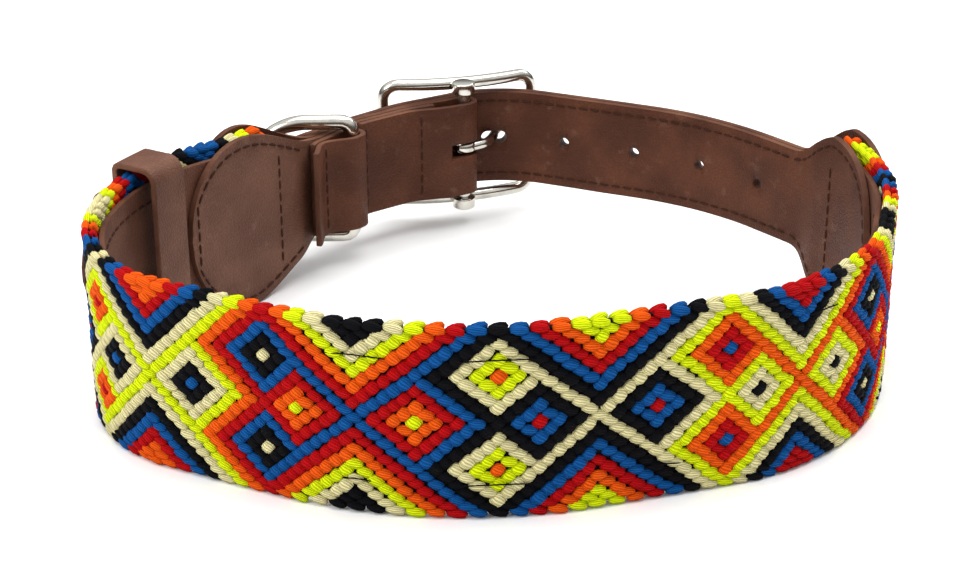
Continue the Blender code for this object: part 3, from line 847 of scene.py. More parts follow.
@dataclass
class Strip:
    """Leather strip that follows a path, with pressed seam lines and slight waves."""

    stitch: float = 3.3 * MM
    groove: float = 0.20 * MM
    wave: float = 0.10 * MM

    def sheet(self, path: Sequence[tuple[Vector, Vector, float]], halves: Sequence[float],
              mids: Sequence[float], sign: float = 1.0) -> bmesh.types.BMesh:
        """Lay the sheet along its path.

        Args:
            path: place in plan, direction out of the face and distance, one for each station.
            halves: half height at each station.
            mids: height of the middle line at each station.
            sign: 1 if the seams are pressed in from the side faced, -1 from the other.

        Returns:
            The sheet.
        """
        heights = [row_heights(half) for half in halves]
        grooved = {3, len(heights[0]) - 4}

        def point(column: int, row: int) -> Vector:
            """Place of one vertex.

            Args:
                column: its column.
                row: its row.

            Returns:
                The point.
            """
            at, out, run = path[column]
            z = heights[column][row]
            press = 0.0
            if row in grooved and halves[column] > 5 * MM:
                press = self.groove * (0.65 + 0.35 * math.cos(2 * math.pi * run / self.stitch))
            ripple = noise.noise(Vector((at.x, at.y, z)) * 90.0) * self.wave
            shift = out * (ripple - press * sign)
            return Vector((at.x + shift.x, at.y + shift.y, mids[column] + z))

        bm = wrapped(len(path) - 1, len(heights[0]) - 1, point)
        bmesh.ops.recalc_face_normals(bm, faces=bm.faces)
        return bm

    def layer(self, places: Sequence[float], n_of: Callable[[float], float],
              half_of: Callable[[float], float], middle_of: Callable[[float], float] = middle,
              sign: float = 1.0) -> bmesh.types.BMesh:
        """Sheet that follows the collar.

        Args:
            places: stations along the collar.
            n_of: n of the layer at a station.
            half_of: half height at a station.
            middle_of: height of the middle line at a station.
            sign: side that the seams are pressed in from.

        Returns:
            The sheet.
        """
        path = [(plan.place(u, n_of(u)), outwards(plan.at(u)[1]), u) for u in places]
        halves = [max(BLUNT_TIP, half_of(u)) for u in places]
        return self.sheet(path, halves, [middle_of(u) for u in places], sign)


def circle_sweep(rings: Sequence[tuple[Vector, Vector, Vector, float, float]],
                 closed: bool = True, sides: int = 20) -> bmesh.types.BMesh:
    """Bar through round sections.

    Args:
        rings: middle, two directions across and two half sizes of each section.
        closed: the last section joins the first.
        sides: number of sides of a section.

    Returns:
        The bar.
    """
    bm = bmesh.new()
    loops = []
    for centre, across, beside, half_across, half_beside in rings:
        ahead = across.cross(beside)
        place = Matrix.Translation(centre) @ Matrix(
            (across * half_across, beside * half_beside, ahead)).transposed().to_4x4()
        made = bmesh.ops.create_circle(bm, cap_ends=False, segments=sides, radius=1.0,
                                       matrix=place)["verts"]
        loops.append(list({edge for vert in made for edge in vert.link_edges}))
    pairs = list(zip(loops, loops[1:]))
    if closed:
        pairs.append((loops[-1], loops[0]))
    for first, second in pairs:
        bmesh.ops.bridge_loops(bm, edges=first + second)
    if not closed:
        bmesh.ops.holes_fill(bm, edges=loops[0] + loops[-1])
    bmesh.ops.recalc_face_normals(bm, faces=bm.faces)
    return bm


def drum(bm: bmesh.types.BMesh, centre: Vector, radius: float, length: float,
         bevel: float, sides: int = 32) -> None:
    """Add an upright cylinder with rounded rims.

    Args:
        bm: mesh to add it to.
        centre: its middle.
        radius: its radius.
        length: its height.
        bevel: how far its rims are rounded.
        sides: number of its sides.
    """
    made = bmesh.ops.create_cone(bm, cap_ends=True, segments=sides, radius1=radius,
                                 radius2=radius, depth=length,
                                 matrix=Matrix.Translation(centre))["verts"]
    rims = {edge for vert in made for edge in vert.link_edges
            if abs(edge.verts[0].co.z - edge.verts[1].co.z) < length / 2}
    bmesh.ops.bevel(bm, geom=list(rims), offset=bevel, offset_type="OFFSET", affect="EDGES",
                    segments=3, profile=0.5, material=-1)


def lobe(sides: int, rings: int, ridge: float) -> bpy.types.Mesh:
    """Small ridged bead about Z, one unit in radius, copied for every knot and stitch.

    Args:
        sides: number of sides, two for each ridge.
        rings: number of rings.
        ridge: depth of the grooves between the ridges.

    Returns:
        The mesh.
    """
    bm = bmesh.new()
    bm.loops.layers.uv.new("strands")
    bmesh.ops.create_uvsphere(bm, u_segments=sides, v_segments=rings, radius=1.0,
                              calc_uvs=True)
    for vert in bm.verts:
        turn = round((math.atan2(vert.co.y, vert.co.x) / (2 * math.pi)) * sides)
        full = math.hypot(vert.co.x, vert.co.y)
        if full > 0.01:
            plump = (full ** 0.72) / full * (1.0 - ridge * (turn % 2))
            vert.co.x *= plump
            vert.co.y *= plump
    mesh = bpy.data.meshes.new("lobe")
    bm.to_mesh(mesh)
    bm.free()
    return mesh


def absorb(whole: bmesh.types.BMesh, part: bmesh.types.BMesh) -> None:
    """Add a mesh to a larger one.

    Args:
        whole: the larger mesh.
        part: the mesh to add, which is used up.
    """
    mesh = bpy.data.meshes.new("part")
    part.to_mesh(mesh)
    part.free()
    whole.from_mesh(mesh)
    bpy.data.meshes.remove(mesh)


def repeated(unit: bpy.types.Mesh, matrices: Iterable[Matrix],
             batch: int = 40) -> bmesh.types.BMesh:
    """One mesh of many copies of a unit.

    Args:
        unit: the mesh that is copied.
        matrices: place of each copy.
        batch: number of copies that are laid at a time.

    Returns:
        The mesh.
    """
    whole = bmesh.new()
    waiting = list(matrices)
    for start in range(0, len(waiting), batch):
        part = bmesh.new()
        for matrix in waiting[start:start + batch]:
            known = len(part.verts)
            part.from_mesh(unit)
            part.verts.ensure_lookup_table()
            bmesh.ops.transform(part, matrix=matrix, verts=part.verts[known:])
        absorb(whole, part)
    return whole


# ======================================================================================
# Knotted band
# ======================================================================================
@dataclass
class KnottedBand:
    """Cotton band of knots in rows of nested diamonds, with its dark core."""

    palette: Palette
    middle_column_at: float = 270.8 * MM
    wide_pitch: float = 2.17 * MM
    narrow_pitch: float = 1.835 * MM
    wide_columns: int = 20
    row_pitch: float = 1.81 * MM
    last_row: int = 12
    edge_pitch: float = 1.5 * MM
    full_rows: int = 10
    face_n: float = -0.95 * MM
    inside_n: float = -2.55 * MM
    core_n: float = -1.75 * MM
    core_thickness: float = 1.3 * MM
    core_half: float = 21.2 * MM
    seed: int = 7

    # slope of the strands on falling and on rising lines, and half width and half length
    # of a knot on a falling line, on a rising line and in the rows at the edges
    falling_tilt: float = math.radians(-20)
    rising_tilt: float = math.radians(-42)
    edge_tilt: float = 0.4
    falling_size: tuple[float, float] = (1.40 * MM, 1.98 * MM)
    rising_size: tuple[float, float] = (1.92 * MM, 1.50 * MM)
    edge_size: tuple[float, float] = (1.22 * MM, 2.25 * MM)
    half_depth: float = 1.02 * MM
    inside_rows: int = 10

    float_n: float = 0.16 * MM
    float_radius: float = 0.16 * MM

    # first and last place along the collar and row of each loose run
    float_runs = ((262.5 * MM, 281.5 * MM, 8), (234.5 * MM, 247.6 * MM, 8),
                  (237.5 * MM, 244.5 * MM, -8), (262.0 * MM, 280.0 * MM, -8),
                  (302.5 * MM, 311.0 * MM, -8), (340.0 * MM, 350.0 * MM, 8))

    # column and colour number of the middle of each pair of diamonds
    diamonds = ((-122, 2), (-98, 0), (-74, 4), (-50, 2), (-24, 5), (0, 3), (24, 1), (48, 5),
                (72, 3), (96, 1))

    def column_u(self, column: int) -> float:
        """Place of a column along the collar.

        Args:
            column: number of the column, 0 at the front.

        Returns:
            Its distance along the collar.
        """
        near = min(abs(column), self.wide_columns)
        far = abs(column) - near
        reach = near * self.wide_pitch + far * self.narrow_pitch
        return self.middle_column_at + math.copysign(reach, column)

    def row_height(self, row: int) -> float:
        """Height of a row from the band's middle line; the rows are closer at the edges.

        Args:
            row: number of the row, 0 at the middle.

        Returns:
            The height.
        """
        near = min(abs(row), self.full_rows)
        reach = near * self.row_pitch + (abs(row) - near) * self.edge_pitch
        return math.copysign(reach, row)

    def knot(self, column: int, row: int) -> tuple[int, bool]:
        """Colour number of a knot and which way its line runs.

        Args:
            column: its column.
            row: its row, 0 at the middle.

        Returns:
            The colour number, and True if its line falls towards growing columns.
        """
        index = max(k for k, (start, _) in enumerate(self.diamonds) if start <= column)
        start, first = self.diamonds[index]
        end, second = self.diamonds[index + 1]
        length, i, j = end - start, column - start, abs(row)
        side = 1 if row >= 0 else -1
        level = min((i + j - 10) // 2, (j - i + 10) // 2)
        if level >= 0:
            return (first + 2 + min(level, 5)) % 6, (i < 10) == (row > 0)
        if i + j < 10:
            ring = (abs(i) + abs(j - 6)) // 2
            if ring <= 2:
                return (first + ring) % 6, i * (j - 6) * side > 0
            return (first + 5 - (abs(i - 4) + j) // 2) % 6, (i - 4) * row > 0
        ring = (abs(i - 16) + j) // 2
        if ring <= 2:
            return (second + (length - 10) // 2 - ring) % 6, (i - 16) * row > 0
        ring = (abs(length - i) + abs(j - 6)) // 2
        return (second + ring) % 6, (i - length) * (j - 6) * side > 0

    def matrices(self) -> dict[Cotton, list[Matrix]]:
        """Place every knot.

        Returns:
            The matrices of the knots of each colour.
        """
        draw = random.Random(self.seed)
        tones = list(Cotton)
        found: dict[Cotton, list[Matrix]] = {tone: [] for tone in tones}
        first = self.diamonds[1][0] - 2
        for column in range(first, self.diamonds[-1][0]):
            u = self.column_u(column)
            if not BAND_START - 1 * MM <= u <= BAND_END + 1 * MM:
                continue
            heading = plan.at(u)[1]
            for row in range(-self.last_row, self.last_row + 1):
                if (column + row) % 2:
                    continue
                number, falling = self.knot(column, row)
                z = band_middle(u) + self.row_height(row)
                for n in (self.face_n, self.inside_n):
                    if n == self.inside_n and abs(row) < self.inside_rows:
                        continue
                    tilt = self.falling_tilt if falling else self.rising_tilt
                    tilt += draw.uniform(-0.17, 0.17)
                    if n == self.inside_n:
                        tilt = -tilt
                    sizes = self.falling_size if falling else self.rising_size
                    grow = draw.uniform(0.94, 1.08)
                    if abs(row) > self.full_rows:
                        sizes = self.edge_size
                        tilt *= self.edge_tilt
                    ahead, out = along(heading), outwards(heading)
                    strand = ahead * math.cos(tilt) + UP * math.sin(tilt)
                    beside = UP * math.cos(tilt) - ahead * math.sin(tilt)
                    turn = Matrix((beside * sizes[0] * grow, out * self.half_depth,
                                   strand * sizes[1] * grow)).transposed().to_4x4()
                    shift = ahead * draw.uniform(-0.18, 0.18) * MM
                    lump = draw.uniform(-0.16, 0.14) * MM
                    centre = spot(u, n + lump, z + draw.uniform(-0.14, 0.14) * MM)
                    found[tones[number]].append(Matrix.Translation(centre + shift) @ turn)
        return found

    def floats(self) -> None:
        """Lay the loose runs of lining thread that cross the face of some diamonds."""
        bm = bmesh.new()
        for first, last, row in self.float_runs:
            steps = 12
            rings = []
            for k in range(steps + 1):
                u = first + (last - first) * k / steps
                sag = math.sin(math.pi * k / steps)
                out = outwards(plan.at(u)[1])
                z = band_middle(u) + self.row_height(row) + 0.5 * MM * sag
                size = self.float_radius * (0.4 + 0.6 * min(1.0, 3 * sag))
                rings.append((spot(u, (0.32 * sag - 0.35) * MM + self.float_n, z), UP, out,
                              size, size))
            absorb(bm, circle_sweep(rings, closed=False, sides=8))
        placed("float_threads", bm, [self.palette.knots[Cotton.BLACK]], Body.COLLAR, Slot.COTTON,
               ["woven_band"])

    def build(self) -> None:
        """Build the core and the knots."""
        places = stations(BAND_START, BAND_END, 2.0 * MM)
        core = Strip(groove=0.0, wave=0.0).layer(places, lambda u: self.core_n,
                                                 lambda u: self.core_half, band_middle)
        made = placed("band_core", core, [self.palette.knots[Cotton.BLACK]] * 2, Body.COLLAR,
                      Slot.COTTON, ["woven_band"])
        thicken(made, self.core_thickness)
        self.floats()
        bead = lobe(14, 5, 0.20)
        for tone, matrices in self.matrices().items():
            placed(f"{tone.name.lower()}_knots", repeated(bead, matrices),
                   [self.palette.knots[tone]], Body.COLLAR, Slot.COTTON, ["woven_band"])


# ======================================================================================
# Leather
# ======================================================================================
@dataclass
class LeatherWork:
    """Lining, buckle strap and hole strap, with their punched holes."""

    palette: Palette
    pitch: float = 1.1 * MM
    hole_at: float = -1.4 * MM
    hole_pitch: float = 20.1 * MM
    holes_right: int = 4
    holes_left: int = 3
    hole_radius: float = 1.4 * MM
    slot_length: float = 7.0 * MM
    slot_width: float = 3.5 * MM
    slot_shift: float = 1.9 * MM
    prong_gap: float = 3.9 * MM

    def lining(self) -> None:
        """Build the lining on the band's inner face."""
        places = stations(BAND_START, BAND_END, self.pitch)
        bm = Strip(groove=0.0, wave=0.12 * MM).layer(
            places, lambda u: LINING_N, lambda u: LINING_HEIGHT / 2, band_middle, -1.0)
        made = placed("lining", bm, [self.palette.lining, self.palette.edge], Body.COLLAR,
                      Slot.LINING, ["band_lining"])
        thicken(made, LINING_THICKNESS)

    def buckle_strap(self) -> None:
        """Build both layers of the buckle strap, the outer one folded round the centre bar."""
        radius = ROD_RADIUS + GAP + HALF
        centre, heading = plan.place(ROD_AT, ROD_N), plan.at(ROD_AT)[1]
        out, back = outwards(heading), -along(heading)
        path, halves, mids = [], [], []
        for u in stations(ROD_AT, LEFT_OUTER.end, self.pitch, 0.0, LEFT_OUTER.rounding)[::-1]:
            path.append((plan.place(u, outer_n(u)), outwards(plan.at(u)[1]), u))
            halves.append(max(BLUNT_TIP, LEFT_OUTER.half_at(u)))
            mids.append(middle(u))
        for i in range(1, 16):
            angle = math.pi * i / 16
            way = out * math.cos(angle) + back * math.sin(angle)
            path.append((centre + way.to_2d() * radius, way, -angle * radius))
        for u in stations(ROD_AT, ROD_AT + FOLD_LENGTH, self.pitch):
            path.append((plan.place(u, flap_n(u)), -outwards(plan.at(u)[1]), -u))
        halves += [STRAP_WIDTH / 2] * (len(path) - len(halves))
        mids += [middle(ROD_AT)] * (len(path) - len(mids))
        made = placed("buckle_strap", Strip(wave=0.05 * MM).sheet(path, halves, mids),
                      [self.palette.strap, self.palette.edge], Body.COLLAR, Slot.LEATHER,
                      ["buckle_strap_outer"])
        thicken(made, LEATHER)
        cutter = bmesh.new()
        bmesh.ops.create_cube(cutter, size=1.0)
        bmesh.ops.scale(cutter, vec=(11 * MM, 12 * MM, self.prong_gap), verts=cutter.verts)
        bmesh.ops.rotate(cutter, matrix=Matrix.Rotation(heading, 3, "Z"), verts=cutter.verts)
        bmesh.ops.translate(cutter, vec=(centre.x, centre.y, middle(ROD_AT)),
                            verts=cutter.verts)
        self.punch(made, cutter)
        places = stations(ROD_AT + 9 * MM, LEFT_INNER.end, self.pitch, 0.0, LEFT_INNER.rounding)
        # The back layer takes the shield finish, the same leather painted lighter than the outer
        # layer as painted light.
        made = placed("buckle_strap_back",
                      Strip().layer(places, inner_n, LEFT_INNER.half_at, middle, -1.0),
                      [self.palette.shield, self.palette.edge], Body.COLLAR, Slot.LEATHER,
                      ["buckle_strap_inner"])
        thicken(made, LEATHER)

    def punch(self, made: bpy.types.Object, cutter: bmesh.types.BMesh) -> None:
        """Cut holes in a piece and apply its modifiers.

        Args:
            made: the piece.
            cutter: mesh of the cutters, which is used up.
        """
        bmesh.ops.recalc_face_normals(cutter, faces=cutter.faces)
        mesh = bpy.data.meshes.new("cutter")
        cutter.to_mesh(mesh)
        cutter.free()
        tool = bpy.data.objects.new("cutter", mesh)
        bpy.context.collection.objects.link(tool)
        cut = made.modifiers.new("holes", "BOOLEAN")
        cut.operation = "DIFFERENCE"
        cut.solver = "EXACT"
        cut.object = tool
        settle(made)
        bpy.data.objects.remove(tool)

    def hole_cutters(self) -> bmesh.types.BMesh:
        """Make a cutter for each punched hole of the hole strap.

        Returns:
            The mesh of them all.
        """
        bm = bmesh.new()
        for k in range(-self.holes_left, self.holes_right + 1):
            u = self.hole_at - k * self.hole_pitch if k else self.hole_at + self.slot_shift
            heading = plan.at(u)[1]
            radius = self.hole_radius if k else self.slot_width / 2
            centre = spot(u, hole_strap_n(u, 0) + STEP / 2, middle(u))
            turn = UP.rotation_difference(outwards(heading)).to_matrix().to_4x4()
            verts = bmesh.ops.create_cone(bm, cap_ends=True, segments=24, radius1=radius,
                                          radius2=radius, depth=8 * MM,
                                          matrix=Matrix.Translation(centre) @ turn)["verts"]
            stretch = 0.0 if k else (self.slot_length - self.slot_width) / 2
            for vert in verts:
                side = (vert.co - centre).dot(along(heading))
                vert.co += along(heading) * math.copysign(stretch, side)
        return bm

    def hole_strap(self) -> None:
        """Build both layers of the strap with the holes."""
        for side, layer, shield in (("back", 0, RIGHT_INNER), ("front", 1, RIGHT_OUTER)):
            places = stations(shield.end, TAIL_END, self.pitch, shield.rounding, TIP)
            bm = Strip().layer(places, lambda u, k=layer: hole_strap_n(u, k),
                               lambda u, s=shield: hole_strap_half(u, s), middle,
                               1.0 if layer else -1.0)
            made = placed(f"hole_strap_{side}", bm, [self.palette.strap, self.palette.edge],
                          Body.COLLAR, Slot.LEATHER,
                          ["hole_strap_outer" if layer else "hole_strap_inner"])
            thicken(made, LEATHER)
            self.punch(made, self.hole_cutters())

    def build(self) -> None:
        """Build every strap."""
        self.lining()
        self.buckle_strap()
        self.hole_strap()


# ======================================================================================
# Hardware
# ======================================================================================
def round_box(half_x: float, half_z: float, radius: float) -> Outline:
    """Outline of a box with rounded corners.

    Args:
        half_x: half its length.
        half_z: half its height.
        radius: radius of its corners.

    Returns:
        The outline.
    """
    return Outline([(half_x, -half_z, radius), (half_x, half_z, radius),
                    (-half_x, half_z, radius), (-half_x, -half_z, radius)])


def around(outline: Outline, pitch: float) -> Iterable[tuple[Vector, Vector]]:
    """Each point all round an outline, with the direction out of it.

    Args:
        outline: the curve.
        pitch: space between the points.

    Returns:
        Pairs of a point and a direction.
    """
    count = round(outline.length / pitch)
    for k in range(count):
        point, heading = outline.at(outline.length * k / count)
        yield point, Vector((math.sin(heading), -math.cos(heading)))


@dataclass
class Buckle:
    """Centre-bar buckle: frame with its eyes, centre bar and prong."""

    palette: Palette
    bar: float = 1.75 * MM
    half_length: float = 20.6 * MM
    half_height: float = 16.5 * MM
    corner: float = 4.0 * MM
    rise: float = 7.4 * MM
    bow: float = 3.2 * MM
    heading: float = math.radians(14.6)
    eye: float = 3.1 * MM
    prong: float = 1.35 * MM

    # middle line of the prong, in the buckle's directions, in mm
    prong_line = ((1.2, -1.6), (2.4, -1.2), (4.4, -0.5), (6.4, 0.4), (8.1, 2.5), (9.6, 5.2),
                  (11.1, 7.8), (13.0, 9.8), (15.8, 10.9), (19.0, 11.0), (20.6, 10.8),
                  (21.7, 10.4))

    def place(self, x: float, y: float, z: float) -> Vector:
        """Point in the buckle's own directions.

        Args:
            x: distance towards the prong's tip.
            y: distance outwards.
            z: height from the centre bar's middle.

        Returns:
            The point.
        """
        at = plan.place(ROD_AT, ROD_N)
        origin = Vector((at.x, at.y, middle(ROD_AT)))
        return origin + self.ahead * x + self.outside * y + UP * z

    @property
    def ahead(self) -> Vector:
        """Direction from the centre bar to the prong's tip."""
        return Vector((math.cos(self.heading), math.sin(self.heading), 0.0))

    @property
    def outside(self) -> Vector:
        """Direction out of the buckle's face."""
        return Vector((-math.sin(self.heading), math.cos(self.heading), 0.0))

    def frame(self) -> None:
        """Build the frame and its two eyes."""
        rings = []
        for point, out in around(round_box(self.half_length, self.half_height, self.corner),
                                 1.0 * MM):
            rise = self.rise - self.bow * (1 - (point.x / self.half_length) ** 2)
            rings.append((self.place(point.x, rise, point.y), self.ahead * out.x + UP * out.y,
                          self.outside, self.bar * 0.95, self.bar))
        bm = circle_sweep(rings)
        for sign in (1, -1):
            drum(bm, self.place(0, 0.3 * MM, sign * self.half_height), self.eye,
                 2 * self.bar * 0.9, 0.5 * MM)
        placed("frame_loop", bm, [self.palette.nickel], Body.BUCKLE, Slot.NICKEL, ["buckle_frame"])

    def centre_bar(self) -> None:
        """Build the centre bar."""
        bm = bmesh.new()
        length = 2 * (self.half_height + self.bar * 0.95) - 0.6 * MM
        drum(bm, self.place(0, 0, 0), ROD_RADIUS, length, 0.4 * MM)
        placed("centre_bar", bm, [self.palette.nickel], Body.BUCKLE, Slot.NICKEL,
               ["buckle_centre_bar"])

    def tongue(self) -> None:
        """Build the prong, bent up over the frame, with its eye round the bar."""
        line = [Vector(point) for point in self.prong_line]
        rings = []
        for i, point in enumerate(line):
            way = (line[min(len(line) - 1, i + 1)] - line[max(0, i - 1)]).normalized()
            across = self.ahead * -way.y + self.outside * way.x
            size = self.prong * (0.72 if i == len(line) - 1 else 1.0)
            rings.append((self.place(point.x * MM, point.y * MM, 0), across, UP, size, size))
        bm = circle_sweep(rings, closed=False, sides=16)
        eye = bmesh.ops.create_circle(
            bm, cap_ends=False, segments=14, radius=1.0,
            matrix=Matrix.Translation(self.place(ROD_RADIUS + GAP + 0.75 * MM, 0, 0))
            @ Matrix((self.ahead * 0.75 * MM, UP * self.prong, self.outside)
                     ).transposed().to_4x4())["verts"]
        edges = list({edge for vert in eye for edge in vert.link_edges})
        bmesh.ops.spin(bm, geom=eye + edges, cent=self.place(0, 0, 0), axis=UP,
                       angle=2 * math.pi, steps=28, use_merge=True, use_duplicate=False)
        bmesh.ops.recalc_face_normals(bm, faces=bm.faces)
        placed("tongue", bm, [self.palette.nickel], Body.TONGUE, Slot.NICKEL, ["prong"])

    def build(self) -> None:
        """Build the frame, the centre bar and the prong."""
        self.frame()
        self.centre_bar()
        self.tongue()


@dataclass
class RingAndTab:
    """D-ring and the leather tab that holds it."""

    palette: Palette
    wire: float = 2.0 * MM
    half_height: float = 15.75 * MM
    depth: float = 27.0 * MM
    corner: float = 2.6 * MM
    lean: float = math.radians(52.0)
    tab_height: float = 25.6 * MM
    seam_at: float = 10.0 * MM
    tail: float = 17.5 * MM
    curl: float = 1.6 * MM

    @property
    def rest_n(self) -> float:
        """n of the ring's straight bar."""
        return INNER_STRAP_N - STEP - HALF - GAP - self.wire

    def closed_n(self, u: float) -> float:
        """n of the tab's upper layer where it lies on its lower one."""
        return inner_n(u) - 2 * STEP

    def ring(self) -> None:
        """Build the D-ring."""
        origin = spot(RING_AT, self.rest_n, middle(RING_AT))
        heading = plan.at(LEFT_SHIELD_AT)[1]
        ahead, out = along(heading), outwards(heading)
        run = ahead * math.cos(self.lean) + out * math.sin(self.lean)
        across = out * math.cos(self.lean) - ahead * math.sin(self.lean)
        half = self.half_height
        outline = Outline([(0.0, -half, self.corner), (self.depth, -half, half),
                           (self.depth, half, half), (0.0, half, self.corner)])
        rings = [(origin + run * point.x + UP * point.y, run * way.x + UP * way.y, across,
                  self.wire, self.wire) for point, way in around(outline, 1.1 * MM)]
        placed("ring_wire", circle_sweep(rings), [self.palette.nickel], Body.RING, Slot.NICKEL,
               ["d_ring"])

    def tab(self) -> None:
        """Build the folded tab."""
        radius = self.wire + GAP + HALF
        top = self.rest_n - radius
        heading = plan.at(RING_AT)[1]
        out, back = outwards(heading), -along(heading)
        centre = plan.place(RING_AT, self.rest_n)
        path = [(plan.place(u, inner_n(u) - STEP), outwards(plan.at(u)[1]), u)
                for u in stations(RING_AT + 1.6 * MM, RING_AT + self.seam_at + 3 * MM,
                                  1.0 * MM)[::-1]]
        for i in range(1, 16):
            way = out * math.cos(math.pi * i / 16) + back * math.sin(math.pi * i / 16)
            path.append((centre + way.to_2d() * radius, way, 0.0))
        for u in stations(RING_AT, RING_AT + self.tail, 0.9 * MM):
            closing = smooth(u - RING_AT, 1.5 * MM, self.seam_at)
            curl = self.curl * smooth(u - RING_AT, self.seam_at + 1 * MM, self.tail)
            n = top + (self.closed_n(u) - top) * closing - curl
            path.append((plan.place(u, n), -outwards(plan.at(u)[1]), -u))
        bm = Strip(groove=0.0, wave=0.05 * MM).sheet(
            path, [self.tab_height / 2] * len(path), [middle(RING_AT)] * len(path))
        made = placed("ring_tab", bm, [self.palette.strap, self.palette.edge], Body.COLLAR,
                      Slot.LEATHER, ["dring_tab"])
        thicken(made, LEATHER)

    def build(self) -> None:
        """Build the ring and its tab."""
        self.ring()
        self.tab()


@dataclass
class Keeper:
    """Leather loop round the band and the strap's tail."""

    palette: Palette
    width: float = 11.0 * MM
    wall: float = 1.5 * MM
    inside: float = -8.6 * MM
    outside: float = 7.9 * MM
    hug: float = 1.2 * MM
    corner: float = 3.2 * MM
    bend: float = 2.4 * MM
    bulge: tuple[float, float] = (13.9 * MM, 17.9 * MM)

    def build(self) -> None:
        """Build the loop."""
        point, heading = plan.at(KEEPER_AT)
        half = self.wall / 2
        top = BAND_HEIGHT + LIFT + 0.7 * MM + half
        inside, outside, hug = self.inside - half, self.outside + half, self.hug + half
        mid = middle(KEEPER_AT)
        outline = Outline([
            (inside, half, self.corner), (hug, half, self.corner / 2),
            (hug, mid - self.bulge[1], self.bend), (outside, mid - self.bulge[0], self.bend),
            (outside, mid + self.bulge[0], self.bend), (hug, mid + self.bulge[1], self.bend),
            (hug, top, self.corner / 2), (inside, top, self.corner)])
        columns, rows = round(outline.length / (0.9 * MM)), 8

        def place(column: int, row: int) -> Vector:
            """Place of one vertex.

            Args:
                column: its column.
                row: its row.

            Returns:
                The point.
            """
            at = outline.at(outline.length * (column % columns) / columns)[0]
            side = (row / rows - 0.5) * self.width
            crown = 0.10 * MM * math.cos(math.pi * (row / rows - 0.5))
            return (Vector((point.x, point.y, at.y)) + outwards(heading) * (at.x + crown)
                    + along(heading) * side)

        bm = wrapped(columns, rows, place, closed=True)
        bmesh.ops.recalc_face_normals(bm, faces=bm.faces)
        # The loop takes the shield finish, the strap leather painted lighter as painted light.
        made = placed("keeper", bm, [self.palette.shield, self.palette.keeper_edge], Body.KEEPER,
                      Slot.LEATHER, ["keeper_loop"])
        thicken(made, self.wall)


